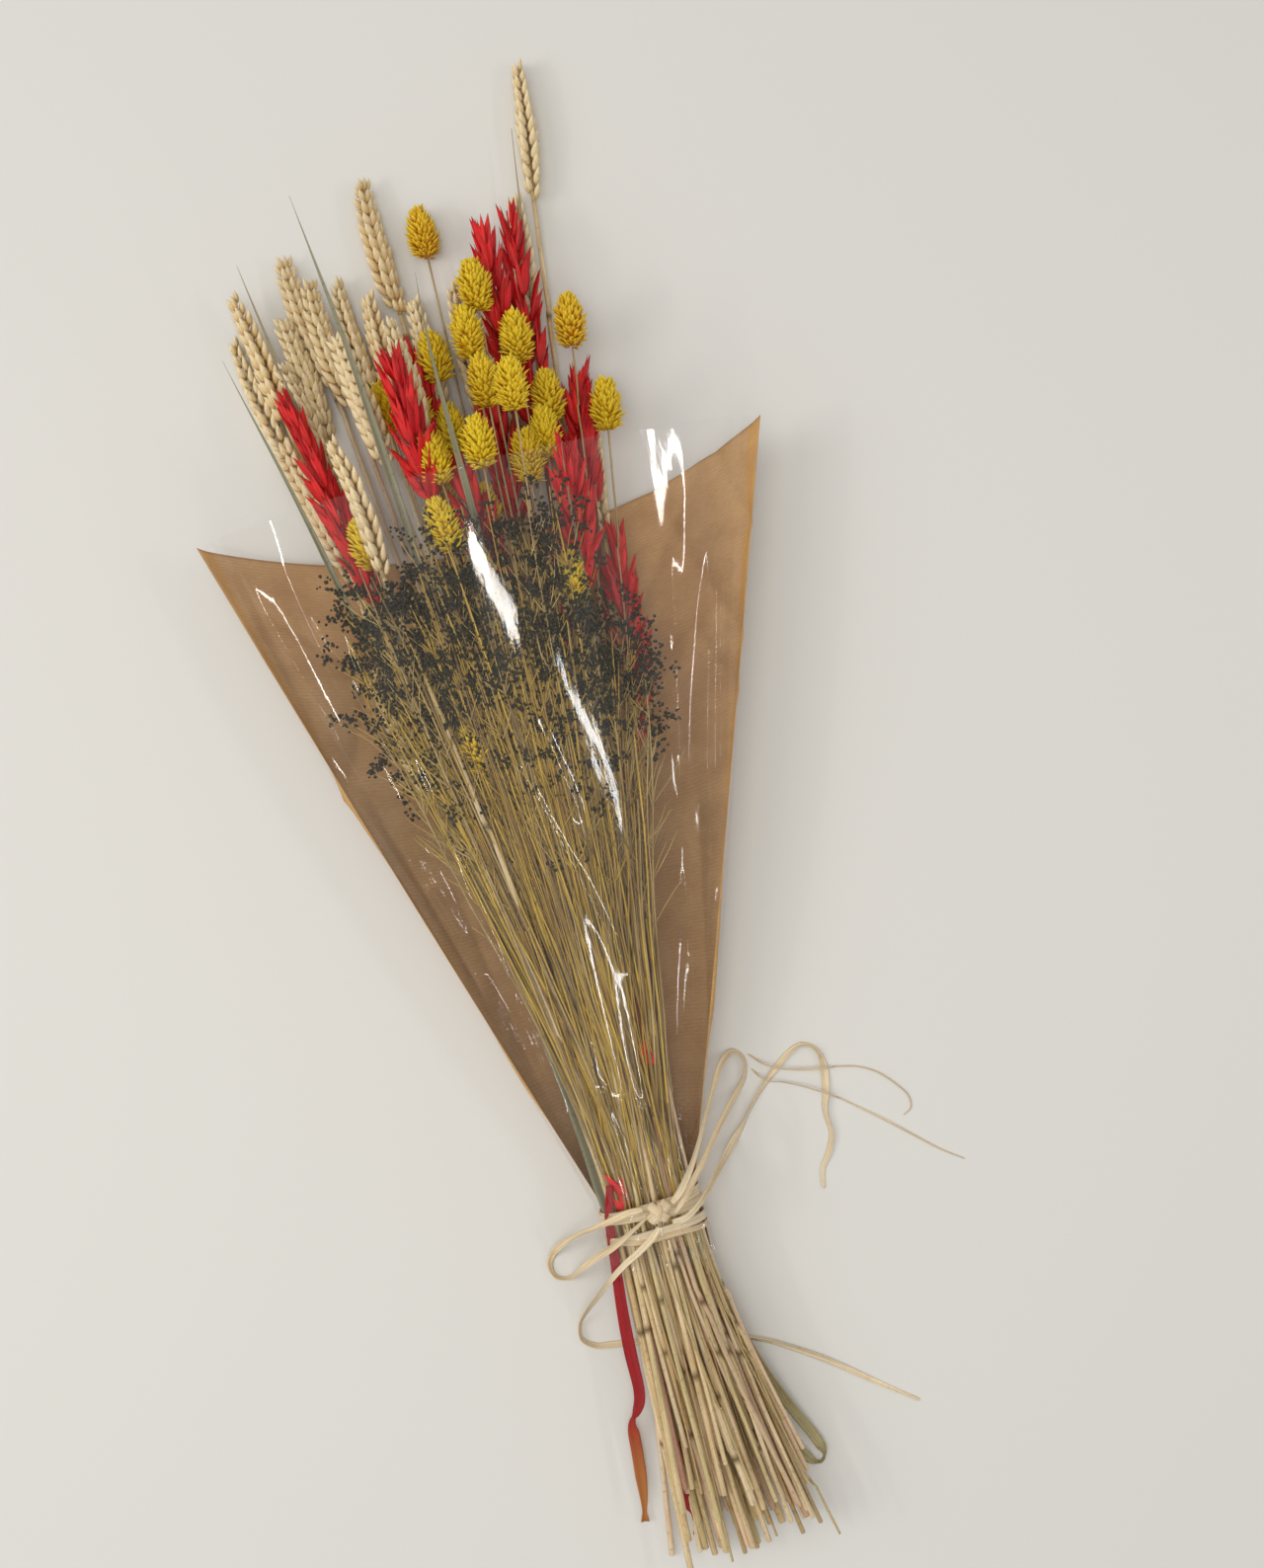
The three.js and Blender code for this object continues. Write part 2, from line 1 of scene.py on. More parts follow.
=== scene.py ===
# A bunch of dried grasses in a florist's sleeve, tied with raffia and lying on a pale table.
# Metres, +Z up; the heads lie towards +Y and the cut ends towards -Y. The frame gives the place of
# every stalk, of the sleeve and of the tie, and each section below makes one of those pieces.

import math
import types

import bpy
import mathutils
import numpy as np
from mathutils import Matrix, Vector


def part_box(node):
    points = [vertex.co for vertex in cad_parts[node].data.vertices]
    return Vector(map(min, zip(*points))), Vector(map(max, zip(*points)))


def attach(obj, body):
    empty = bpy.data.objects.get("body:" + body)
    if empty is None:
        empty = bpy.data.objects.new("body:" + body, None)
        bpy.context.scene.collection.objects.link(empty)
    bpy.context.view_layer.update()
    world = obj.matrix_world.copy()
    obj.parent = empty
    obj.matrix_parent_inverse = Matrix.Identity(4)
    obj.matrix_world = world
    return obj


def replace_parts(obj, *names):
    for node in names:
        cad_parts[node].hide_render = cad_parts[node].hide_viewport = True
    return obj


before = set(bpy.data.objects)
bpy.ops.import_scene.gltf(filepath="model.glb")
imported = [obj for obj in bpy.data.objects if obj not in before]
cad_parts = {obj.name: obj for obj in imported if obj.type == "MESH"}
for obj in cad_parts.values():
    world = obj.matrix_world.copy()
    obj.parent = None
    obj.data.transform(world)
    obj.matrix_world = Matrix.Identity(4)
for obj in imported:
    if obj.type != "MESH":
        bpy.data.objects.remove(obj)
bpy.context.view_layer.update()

# ---------------------------------------------------------------- kraft back
# The back of the sleeve is one tapered sheet of brown kraft paper with fine ribs across it. It lies
# flat along its middle, turns up at both sides, and has a golden strip where the film is sealed on.

knot_low, knot_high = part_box("raffia_knot")
knot_aside = np.array([0.004, 0.003])        # the knot's place, from the middle of the neck
tie = np.array([0.0, (knot_low.y + knot_high.y) / 2 - knot_aside[1], 0.0])
sleeve_top = 0.380
sleeve_foot = -0.027
neck_end = 0.010
half_widths = (0.0255, 0.146)                # at the neck and at the top, as are the next two
flat_strips = (0.008, 0.045)
side_turns = (90, 38)                        # in degrees
paper_landing = 0.060
paper_dip = 0.030
paper_thickness = 0.0008
paper_wall = 0.0003                          # of the sheet itself, which is thinner than the frame's
tie_height = 0.0016
rng = np.random.default_rng(11)


def lerp(a, b, share):
    """A straight blend: a at 0 and b at 1."""
    return a + (b - a) * share


def eased(value, low, high):
    """0 below low and 1 above high, with the curve 3t² - 2t³ between them."""
    t = np.clip((value - low) / (high - low), 0, 1)
    return t * t * (3 - 2 * t)


def columns(*values):
    """The given values side by side along a new last axis, each spread to the shape of the largest."""
    return np.stack(np.broadcast_arrays(*values), axis=-1)


def sleeve_section(y):
    """Half width, flat strip, turn, side radius, lift and edge height at y from the tie: each size is
    blended in a straight line from the neck to the top, and radius = (half - strip) / sin(turn)."""
    share = np.clip((y - neck_end) / (sleeve_top - neck_end), 0, 1)
    half = lerp(*half_widths, share)
    strip = lerp(*flat_strips, share)
    turn = np.radians(lerp(*side_turns, share))
    radius = (half - strip) / np.sin(turn)
    lift = tie_height * (1 - eased(y, neck_end, paper_landing))
    edge = lift + radius * (1 - np.cos(turn)) + paper_thickness * np.cos(turn)
    return types.SimpleNamespace(share=share, half=half, strip=strip, turn=turn, radius=radius,
                                 lift=lift, edge=edge)


def paper_surface(across, row, depth):
    """A point of the paper: across runs from -1 to 1 along its section, which is a flat strip and then
    an arc on each side, and row is its place along the side edge; the top edge dips as 1 - across²."""
    rise = np.clip((row - paper_landing) / (sleeve_top - paper_landing), 0, 1)
    y = row - paper_dip * (1 - across ** 2) * rise ** 2
    side = sleeve_section(y)
    length = np.abs(across) * (side.strip + side.radius * side.turn)
    angle = np.maximum(length - side.strip, 0) / side.radius
    x = np.minimum(length, side.strip) + (side.radius - depth) * np.sin(angle)
    z = side.lift + side.radius - (side.radius - depth) * np.cos(angle)
    return columns(np.sign(across) * x, y, z)


def grid_quads(rows, width, wrapped=False):
    """The four-sided faces of a grid of points, row by row; wrapped joins each row's end to its start."""
    here = np.arange(width if wrapped else width - 1)
    beside = (here + 1) % width
    start = np.arange(rows - 1)[:, None] * width
    return columns(start + here, start + beside, start + width + beside,
                   start + width + here).reshape(-1, 4)


def normals_of(grid):
    """Unit normals of a grid of points, from the cross product of its two directions."""
    normal = np.cross(np.gradient(grid, axis=1), np.gradient(grid, axis=0))
    return normal / np.linalg.norm(normal, axis=-1, keepdims=True)


def ripples(u, v, rates, seed):
    """A smooth random field: a sum of waves sin(au + bv + c), with a and b up to the given two rates,
    divided so that it runs from about -1 to 1."""
    draw = np.random.default_rng(seed)
    total, waves, usual_height = 0, 12, 3.5
    for _ in range(waves):
        a, b, c = (draw.uniform(-rates[0], rates[0]), draw.uniform(-rates[1], rates[1]),
                   draw.uniform(0, 6.3))
        total = total + np.sin(a * u + b * v + c)
    return total / usual_height


def fold_lines(x, y, folds):
    """Sharp folds: each adds height·exp(-d / width), with d the distance from its line."""
    total = np.zeros_like(x)
    for x0, y0, x1, y1, height, width in folds:
        span = np.hypot(x1 - x0, y1 - y0)
        off = ((x - x0) * (y1 - y0) - (y - y0) * (x1 - x0)) / span
        run = ((x - x0) * (x1 - x0) + (y - y0) * (y1 - y0)) / span ** 2
        total += height * np.exp(-np.abs(off) / width) * eased(run, -0.15, 0.1) * eased(1 - run, -0.15, 0.1)
    return total


def new_piece(name, points, quads, materials, slot, tris=(), skin=None, **values):
    """A smooth mesh that rides on the bunch. skin is each point's material; values are kept on the points
    as attributes for the materials to read."""
    mesh = bpy.data.meshes.new(name)
    faces = np.asarray(quads).tolist() + np.asarray(tris).tolist()
    mesh.from_pydata(np.asarray(points).tolist(), [], faces)
    for made in materials:
        mesh.materials.append(made)
    if skin is not None:
        firsts = [face[0] for face in faces]
        mesh.polygons.foreach_set("material_index", np.asarray(skin, np.int32)[firsts])
    for key, value in values.items():
        layer = mesh.attributes.new(key, "FLOAT_VECTOR", "POINT")
        layer.data.foreach_set("vector", np.asarray(value, np.float32).ravel())
    mesh.polygons.foreach_set("use_smooth", [True] * len(mesh.polygons))
    mesh.update()
    made = bpy.data.objects.new(name, mesh)
    bpy.context.scene.collection.objects.link(made)
    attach(made, "root")
    return made


def thicken(sheet, thickness):
    """A sheet given its thickness, half of it on each side."""
    wall = sheet.modifiers.new("wall", "SOLIDIFY")
    wall.thickness = thickness
    wall.offset = 0


def new_material(name, **sockets):
    """A material and its node tree, with the shader's own sockets set as given."""
    made = bpy.data.materials.new(name)
    made.use_nodes = True
    shader = made.node_tree.nodes["Principled BSDF"]
    for socket, value in sockets.items():
        shader.inputs[socket.replace("_", " ")].default_value = value
    return made, made.node_tree, shader


def node(tree, kind, inputs=None, **settings):
    """A shader node: settings are its own, and inputs are sockets to link, or values to set."""
    made = tree.nodes.new(kind)
    for key, value in settings.items():
        setattr(made, key, value)
    for key, value in (inputs or {}).items():
        if isinstance(value, bpy.types.NodeSocket):
            tree.links.new(value, made.inputs[key])
        else:
            made.inputs[key].default_value = value
    return made


def ramp(tree, factor, stops):
    """A colour ramp: stops are (place, colour) pairs."""
    made = node(tree, "ShaderNodeValToRGB", {"Fac": factor})
    while len(made.color_ramp.elements) < len(stops):
        made.color_ramp.elements.new(0.5)
    for element, (place, colour) in zip(made.color_ramp.elements, stops):
        element.position = place
        element.color = (*colour, 1)
    return made.outputs["Color"]


def noise(tree, vector, stretch, detail):
    """Noise whose pattern is stretched by dividing the coordinates by a size in metres on each axis."""
    scaled = node(tree, "ShaderNodeMapping", {"Vector": vector, "Scale": [1 / size for size in stretch]})
    return node(tree, "ShaderNodeTexNoise", {"Vector": scaled.outputs[0], "Scale": 1.0, "Detail": detail}
                ).outputs["Fac"]


def mixed(tree, share, first, second, blend="MIX"):
    """Two colours mixed: the first at a share of 0 and the second at 1."""
    if not isinstance(second, bpy.types.NodeSocket):
        second = (*second, 1)
    return node(tree, "ShaderNodeMix", {"Factor": share, "A": first, "B": second}, data_type="RGBA",
                blend_type=blend).outputs["Result"]


def times(tree, colour, factor):
    """The product of two colours."""
    return mixed(tree, 1.0, colour, factor, "MULTIPLY")


def attribute(tree, name):
    """The values that the mesh keeps on its points under a name."""
    return node(tree, "ShaderNodeAttribute", attribute_name=name).outputs["Vector"]


def parts_of(tree, vector):
    """The three numbers of a vector, as X, Y and Z."""
    return node(tree, "ShaderNodeSeparateXYZ", {"Vector": vector}).outputs


def between(tree, factor, low, high):
    """A factor from 0 to 1 mapped to run from low to high."""
    made = node(tree, "ShaderNodeMapRange", {"Value": factor, "To Min": low, "To Max": high})
    return made.outputs["Result"]


rib_pitch = 0.0019


def kraft_material():
    """Brown paper: fibres, ribs across with painted shade in their grooves, mottling, and a golden strip
    along both sealed edges.
    """
    made, tree, shader = new_material("kraft_paper", Roughness=0.72, IOR=1.45)
    sheet = attribute(tree, "grain")
    mottle = noise(tree, sheet, (0.030, 0.022, 1), detail=5)
    fibre = noise(tree, sheet, (0.0035, 0.0006, 1), detail=4)
    paper = ramp(tree, mottle, [(0.3, (0.53, 0.305, 0.133)), (0.7, (0.68, 0.420, 0.200))])
    paper = times(tree, paper, ramp(tree, fibre, [(0.25, (0.80, 0.78, 0.74)), (0.75, (1, 1, 1))]))
    # Painted shade in the rib grooves: the colour is darkened by up to 7% along the same sine that gives
    # the ribs' bump.
    rib = node(tree, "ShaderNodeMath", {
        0: parts_of(tree, sheet)["Y"], 1: 2 * math.pi / rib_pitch}, operation="MULTIPLY")
    rib = node(tree, "ShaderNodeMath", {0: rib.outputs[0]}, operation="SINE").outputs[0]
    rib_light = node(tree, "ShaderNodeMapRange", {
        "Value": rib, "From Min": -1, "To Min": 0.93, "To Max": 1.0})
    rib_groove_shade = node(tree, "ShaderNodeCombineColor", {
        k: rib_light.outputs[0] for k in ("Red", "Green", "Blue")})
    paper = times(tree, paper, rib_groove_shade.outputs[0])
    golden = times(tree, paper, (1.10, 1.00, 0.64))
    strip = ramp(tree, parts_of(tree, attribute(tree, "tone"))["X"], [
        (0.945, (0, 0, 0)), (0.962, (1, 1, 1))])
    tree.links.new(mixed(tree, strip, paper, golden), shader.inputs["Base Color"])
    height = node(tree, "ShaderNodeMath", {0: fibre, 1: rib}, operation="ADD").outputs[0]
    bump = node(tree, "ShaderNodeBump", {"Height": height, "Strength": 0.25, "Distance": 0.0002})
    tree.links.new(bump.outputs[0], shader.inputs["Normal"])
    return made


paper_folds = [
    (0.075, 0.385, 0.118, 0.250, -0.0034, 0.006), (0.118, 0.250, 0.092, 0.180, -0.0026, 0.005),
    (0.100, 0.330, 0.134, 0.330, -0.0028, 0.005), (0.062, 0.300, 0.104, 0.360, -0.0032, 0.007),
    (0.088, 0.290, 0.112, 0.215, -0.0024, 0.004), (0.120, 0.372, 0.132, 0.290, -0.0026, 0.004),
    (-0.125, 0.350, -0.092, 0.215, -0.0028, 0.006), (-0.070, 0.330, -0.100, 0.235, -0.0028, 0.006),
    (-0.118, 0.340, -0.080, 0.300, -0.0024, 0.004), (-0.088, 0.235, -0.058, 0.130, -0.0022, 0.004),
    (-0.060, 0.180, -0.040, 0.075, -0.0018, 0.005), (0.070, 0.200, 0.048, 0.090, -0.0022, 0.005),
]
across, row = np.meshgrid(np.linspace(-1, 1, 121), np.linspace(sleeve_foot, sleeve_top, 151))
paper = paper_surface(across, row, paper_thickness / 2)
off_strip = eased(np.abs(across), 0.35, 0.6) * eased(row, 0.02, 0.08) * eased(1 - np.abs(across), 0, 0.03)
sag = fold_lines(paper[..., 0], paper[..., 1], paper_folds)
sag += 0.0007 * (ripples(paper[..., 0], paper[..., 1], (70, 50), 3) - 1)
paper = paper + normals_of(paper) * (sag * off_strip)[..., None]
side = sleeve_section(paper[..., 1])
flat_x = across * (side.strip + side.radius * side.turn)
kraft = new_piece(
    "sleeve_paper", (paper + tie).reshape(-1, 3), grid_quads(*across.shape),
    [kraft_material()], "kraft_paper",
    grain=columns(flat_x, row, 0).reshape(-1, 3), tone=columns(np.abs(across), row, 0).reshape(-1, 3),
)
thicken(kraft, paper_wall)
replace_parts(kraft, "kraft_back")

# ---------------------------------------------------------------- clear film
# The front of the sleeve is a clear, glossy film sealed to the paper along both sides. It is pulled
# tight over the neck and swells over the heads, with long folds that run from the neck to the top.

film_edge_gap = 0.0003
film_thickness = 0.0006
film_wall = 0.00015                          # of the sheet itself, which is thinner than the frame's
neck_bend = 0.060
tie_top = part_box("raffia_turn_upper")[1].z
neck_crown = tie_top - tie_height - film_thickness
film_slope = (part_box("film_front")[1].z - film_thickness - neck_crown)
film_slope /= math.hypot(sleeve_top, neck_bend) - neck_bend


def bend_out(y):
    """0 at the tie, rising to a slope of 1 away from it: the square root of y² + bend², less the bend."""
    return np.sqrt(y * y + neck_bend ** 2) - neck_bend


def film_height(x, y):
    """Height of the film's lower face: low + (crown - low)·(1 - (x / half)²)^power, where the power
    goes from 0.5, an ellipse, at the neck to 0.75 at the top."""
    side = sleeve_section(y)
    low = side.edge + film_edge_gap
    crown = neck_crown + film_slope * bend_out(np.maximum(y, 0))
    return low + (crown - low) * np.maximum(0, 1 - (x / side.half) ** 2) ** lerp(0.5, 0.75, side.share)


film_folds = [
    (-0.098, 0.345, -0.036, 0.070, 0.0022, 0.0030), (-0.074, 0.300, -0.030, 0.060, 0.0016, 0.0025),
    (-0.060, 0.245, -0.024, 0.030, 0.0014, 0.0022), (-0.118, 0.350, -0.070, 0.190, 0.0015, 0.0030),
    (0.108, 0.340, 0.052, 0.110, 0.0020, 0.0030), (0.080, 0.300, 0.036, 0.060, 0.0018, 0.0026),
    (0.094, 0.240, 0.044, 0.060, 0.0014, 0.0022), (-0.010, 0.230, 0.016, 0.130, 0.0012, 0.0020),
    (0.004, 0.250, 0.012, 0.205, 0.0012, 0.0018), (-0.018, 0.075, 0.020, 0.045, 0.0012, 0.0018),
    (-0.012, -0.008, 0.010, -0.024, 0.0008, 0.0012), (0.012, 0.000, 0.018, -0.022, 0.0008, 0.0010),
    (-0.112, 0.330, -0.046, 0.110, 0.0024, 0.0022), (-0.104, 0.270, -0.052, 0.130, 0.0018, 0.0020),
    (-0.086, 0.210, -0.040, 0.075, 0.0018, 0.0018), (-0.126, 0.350, -0.096, 0.240, 0.0018, 0.0020),
    (-0.090, 0.330, -0.070, 0.250, 0.0020, 0.0022), (-0.066, 0.190, -0.030, 0.050, 0.0018, 0.0018),
    (0.128, 0.320, 0.092, 0.200, 0.0022, 0.0020), (0.122, 0.290, 0.060, 0.120, 0.0022, 0.0020),
    (0.100, 0.215, 0.044, 0.075, 0.0018, 0.0018), (0.132, 0.350, 0.118, 0.300, 0.0018, 0.0018),
    (0.104, 0.300, 0.080, 0.200, 0.0022, 0.0020), (0.070, 0.160, 0.034, 0.040, 0.0016, 0.0018),
    (-0.022, 0.072, 0.004, 0.058, 0.0012, 0.0010), (-0.010, 0.090, -0.016, 0.050, 0.0010, 0.0010),
]
turn, row = np.meshgrid(np.linspace(-90, 90, 201), np.linspace(sleeve_foot, sleeve_top, 241))
x = sleeve_section(row).half * np.sin(np.radians(turn))
film = columns(x, row, film_height(x, row))
from_edge = eased(1 - np.abs(turn) / 90, 0.0, 0.10)
drawn = np.exp(-np.maximum(row, 0) / 0.09)
swell = 0.0006 + 0.0005 * ripples(turn / 14, row * 25, (1, 1), 5)
swell = swell + 0.00045 * drawn * (1 + np.sin(turn * 0.42 + 2 * ripples(turn / 40, row * 20, (1, 1), 9)))
sides = eased(np.abs(turn), 30, 62)
swell = swell + 0.0007 * sides * (1 + ripples(turn / 1.8, row * 30, (1, 1), 6))
swell = swell + 0.0011 * eased(-row, -0.004, 0.012) * (1 + ripples(turn / 5, row * 420, (1, 1), 12))
swell = swell + fold_lines(x, row, film_folds) * (0.5 + 0.5 * ripples(turn / 9, row * 60, (1, 1), 8) ** 2)
film = film + normals_of(film) * (film_thickness / 2 + np.maximum(swell, 0) * from_edge)[..., None]


def film_material():
    """Clear film: a mirror-bright skin of which only a few hundredths are there, so that it sends that
    share of the light back and lets the rest through. A little more of it shows in its crinkles."""
    made, tree, shader = new_material(
        "clear_film", Base_Color=(1.0, 0.98, 0.96, 1), Metallic=1.0, Roughness=0.045)
    place = node(tree, "ShaderNodeTexCoord").outputs["Object"]
    crinkle = noise(tree, place, (0.010, 0.045, 0.03), detail=4)
    creases = noise(tree, place, (0.016, 0.11, 0.03), detail=2)
    haze = node(tree, "ShaderNodeMath", {0: crinkle, 1: creases}, operation="MULTIPLY").outputs[0]
    tree.links.new(between(tree, haze, 0.012, 0.085), shader.inputs["Alpha"])
    bump = node(tree, "ShaderNodeBump", {"Height": crinkle, "Strength": 0.25, "Distance": 0.0004})
    tree.links.new(bump.outputs[0], shader.inputs["Normal"])
    return made


clear = new_piece("sleeve_film", (film + tie).reshape(-1, 3), grid_quads(*row.shape), [film_material()],
                  "clear_film")
thicken(clear, film_wall)
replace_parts(clear, "film_front")

# ---------------------------------------------------------------- stalks of straw
# Each stalk is a hollow straw with a swollen ring at every joint and a clean cut end. The frame's
# solids give the course of those that carry a head; the others lie in the room left between them.


def distinct(points):
    """The points without those that lie on an earlier one, to a twentieth of a millimetre."""
    apart = np.linalg.norm(points[:, None] - points[None], axis=-1)
    return points[np.unique((apart < 0.00005).argmax(axis=1))]


def course_of(cad_node):
    """The rings of a stalk's solid from its cut end to its tip, as rows of x, y, z and radius: a ring's
    points share one y, its middle is their mean, and five corners reach sin 72° of its radius aside."""
    points = np.array([v.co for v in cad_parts[cad_node].data.vertices])
    points = points[points[:, 1].argsort()]
    breaks = np.flatnonzero(np.diff(points[:, 1]) > 0.0005) + 1
    rows = []
    for ring in np.split(points, breaks):
        ring = distinct(ring)
        middle = ring.mean(axis=0)
        rows.append([*middle, np.abs(ring[:, 0] - middle[0]).max() / math.sin(math.radians(72))])
    return np.array(rows)


def unit(vectors):
    """The vectors at length 1."""
    return vectors / np.maximum(np.linalg.norm(vectors, axis=-1, keepdims=True), 1e-12)


def axes_along(path, roll=0.0):
    """Unit vectors beside and above each point of a path, turned about the path by roll radians."""
    along = unit(np.gradient(path, axis=0))
    above = unit(np.array([0, 0, 1.0]) - along * along[:, 2:])
    beside = np.cross(above, along)
    cos, sin = (np.broadcast_to(f(roll), len(path))[:, None] for f in (np.cos, np.sin))
    return beside * cos + above * sin, above * cos - beside * sin


def carried(path, section, beside, above, tone, skin=0):
    """A closed body: the section (rings, sides, 2) is carried along the path, so that each point is
    path + beside·section x + above·section y, and both ends are closed to a point at their middle."""
    rings, sides = section.shape[:2]
    points = path[:, None] + section[..., :1] * beside[:, None] + section[..., 1:] * above[:, None]
    run = np.concatenate([[0], np.cumsum(np.linalg.norm(np.diff(path, axis=0), axis=1))])
    grain = np.concatenate([section, np.broadcast_to(run[:, None, None], (rings, sides, 1))], axis=-1)
    tone = np.broadcast_to(np.asarray(tone, float), (rings, 3))
    ring = np.arange(sides)
    after = (ring + 1) % sides
    poles = rings * sides + np.array([0, 1])
    last = (rings - 1) * sides
    tris = np.concatenate([columns(poles[0], after, ring), columns(poles[1], last + ring, last + after)])
    quads = grid_quads(rings, sides, wrapped=True)
    return {
        "points": np.concatenate([points.reshape(-1, 3), path[[0, -1]]]),
        "quads": quads, "tris": tris,
        "grain": np.concatenate([grain.reshape(-1, 3), [[0, 0, run[0]], [0, 0, run[-1]]]]),
        "tone": np.concatenate([np.repeat(tone, sides, axis=0), tone[[0, -1]]]),
        "skin": np.full(rings * sides + 2, skin),
    }


def joined(shapes):
    """Several bodies as one: their rows one after another, with the faces' point numbers moved on."""
    starts = np.cumsum([0] + [len(shape["points"]) for shape in shapes[:-1]])
    whole = {key: np.concatenate([shape[key] for shape in shapes])
             for key in ("points", "grain", "tone", "skin")}
    for key in ("quads", "tris"):
        whole[key] = np.concatenate([shape[key] + start for shape, start in zip(shapes, starts)])
    return whole


def copies(shape, places, axes, tones):
    """A body repeated: copy k has its points at place k + x·side + y·thickness + z·length, the three
    columns of axes k, and the tone k added to its own."""
    count, size = len(places), len(shape["points"])
    points = np.einsum("kij,pj->kpi", axes, shape["points"]) + places[:, None]
    moves = (np.arange(count) * size)[:, None, None]
    return {
        "points": points.reshape(-1, 3),
        "quads": (shape["quads"][None] + moves).reshape(-1, 4),
        "tris": (shape["tris"][None] + moves).reshape(-1, 3),
        "grain": np.tile(shape["grain"], (count, 1)),
        "tone": (shape["tone"][None] + tones[:, None]).reshape(-1, 3),
        "skin": np.tile(shape["skin"], count),
    }


def piece_of(name, shape, materials, slot):
    """A body as a piece of the bunch."""
    return new_piece(name, shape["points"], shape["quads"], materials, slot, shape["tris"], shape["skin"],
                     grain=shape["grain"], tone=shape["tone"])


def round_section(radii, sides, flat=1.0):
    """Circles of the given radii, flattened by a factor in height."""
    angle = np.arange(sides) * 2 * math.pi / sides
    circle = columns(np.cos(angle), np.sin(angle) * flat)
    return np.asarray(radii)[:, None, None] * circle


def softened(values, passes):
    """A row of values, each blended with its two neighbours: (a + 2b + c) / 4, with the ends kept."""
    for _ in range(passes):
        blend = (values[:-2] + 2 * values[1:-1] + values[2:]) / 4
        values = np.concatenate([values[:1], blend, values[-1:]])
    return values


def on_course(course, y, passes):
    """The points of a course at each y, with its x and z softened."""
    x, z = (softened(np.interp(y, course[:, 1], course[:, k]), passes) for k in (0, 2))
    return columns(x, y, z)


joint_width = 0.0016
joint_mark = 0.0020
sheath_length = 0.045
hollow_depth = 0.005


def straw(course, tone, sides=8, joint_gap=0.115):
    """A straw along a course: a hollow cut end, then a round section whose radius swells by a fifth at
    each joint, as exp(-(d / width)²), and by 8% where the leaf sheath wraps it past the joint."""
    foot, end = course[0, 1], course[-1, 1]
    joints = np.arange(foot + rng.uniform(0.02, joint_gap), end, joint_gap * rng.uniform(0.9, 1.3))
    near = (joints[:, None] + np.array([-0.0035, -0.0016, 0, 0.0016, 0.0035])).ravel()
    y = np.unique(np.concatenate([np.linspace(foot, end, max(6, int((end - foot) / 0.014))), near]))
    y = y[(y >= foot) & (y <= end)]
    path = on_course(course, y, 2)
    radius = np.interp(y, course[:, 1], course[:, 3])
    off = y[:, None] - joints[None] if len(joints) else np.full((len(y), 1), 1.0)
    mark = np.exp(-(off / joint_mark) ** 2).max(axis=1)
    sheath = ((off > 0) & (off < sheath_length)).any(axis=1)
    radius = radius * (1 + 0.2 * np.exp(-(off / joint_width) ** 2).max(axis=1) + 0.08 * sheath)
    tones = columns(tone, (y - foot) / (end - foot), mark)
    inner = path[0] + unit(path[1] - path[0]) * hollow_depth
    path = np.concatenate([[inner, path[0], path[0]], path])
    path[3] = path[2] + unit(path[4] - path[2]) * 0.0004
    radius = np.concatenate([[radius[0] * 0.45, radius[0] * 0.58, radius[0] * 0.92], radius])
    # Painted shade in the hollow cut end: the tone's third number is 2.0 and 0.9 on the inner rings, which
    # turns them to the dark colour, and -0.2 at the outer rim, so the painted shade fades across the rim.
    tones = np.concatenate([[[tone, 0, 2.0], [tone, 0, 0.9], [tone, 0, -0.2]], tones])
    beside, above = (np.concatenate([part[[1, 1, 1]], part[1:]]) for part in axes_along(path[2:]))
    flat = 1 - 0.12 * rng.random()
    return carried(path, round_section(radius, sides, flat), beside, above, tones)


def dried_material(name, colours, dark, streak=(0.0004, 0.0004, 0.02), spread=0.22, roughness=0.6,
                   tips=None, relief=0.0002, fleck=0.25):
    """Dried plant matter: a colour from the piece's own tone, streaks along its grain, dark marks at
    its joints, painted shade inside the hollow cut ends of straws, another colour towards the tips,
    and a bump that follows the streaks."""
    made, tree, shader = new_material(name)
    tone = parts_of(tree, attribute(tree, "tone"))
    place = node(tree, "ShaderNodeTexCoord").outputs["Object"]
    streaks = noise(tree, attribute(tree, "grain"), streak, detail=4)
    patches = noise(tree, place, (0.012, 0.03, 0.012), detail=2)
    stops = [(k / max(1, len(colours) - 1), colour) for k, colour in enumerate(colours)]
    wander = node(tree, "ShaderNodeMath", {0: patches, 1: 0.5}, operation="SUBTRACT").outputs[0]
    shifted = node(tree, "ShaderNodeMath", {0: wander, 1: 0.5, 2: tone["X"]}, operation="MULTIPLY_ADD")
    colour = ramp(tree, shifted.outputs[0], stops)
    if tips is not None:
        start, end, tip_colour = tips
        near_tip = ramp(tree, tone["Y"], [(start, (0, 0, 0)), (end, (1, 1, 1))])
        colour = mixed(tree, near_tip, colour, tip_colour)
    low = 1 - 2 * spread
    colour = times(tree, colour, ramp(tree, streaks, [(0.3, (low, low, low)), (0.7, (1.06, 1.05, 1.03))]))
    specks = noise(tree, place, (0.0016, 0.0022, 0.0016), detail=2)
    dim = 1 - fleck
    colour = times(tree, colour, ramp(tree, specks, [
        (0.30, (dim, dim * 0.97, dim * 0.93)), (0.42, (1, 1, 1))]))
    # The dark colour comes in by the tone's third number: real dark marks at the joints, and painted shade
    # inside the hollow cut ends.
    tree.links.new(mixed(tree, tone["Z"], colour, dark), shader.inputs["Base Color"])
    tree.links.new(between(tree, streaks, roughness - 0.12, roughness + 0.15), shader.inputs["Roughness"])
    bump = node(tree, "ShaderNodeBump", {"Height": streaks, "Strength": 0.6, "Distance": relief})
    tree.links.new(bump.outputs[0], shader.inputs["Normal"])
    return made


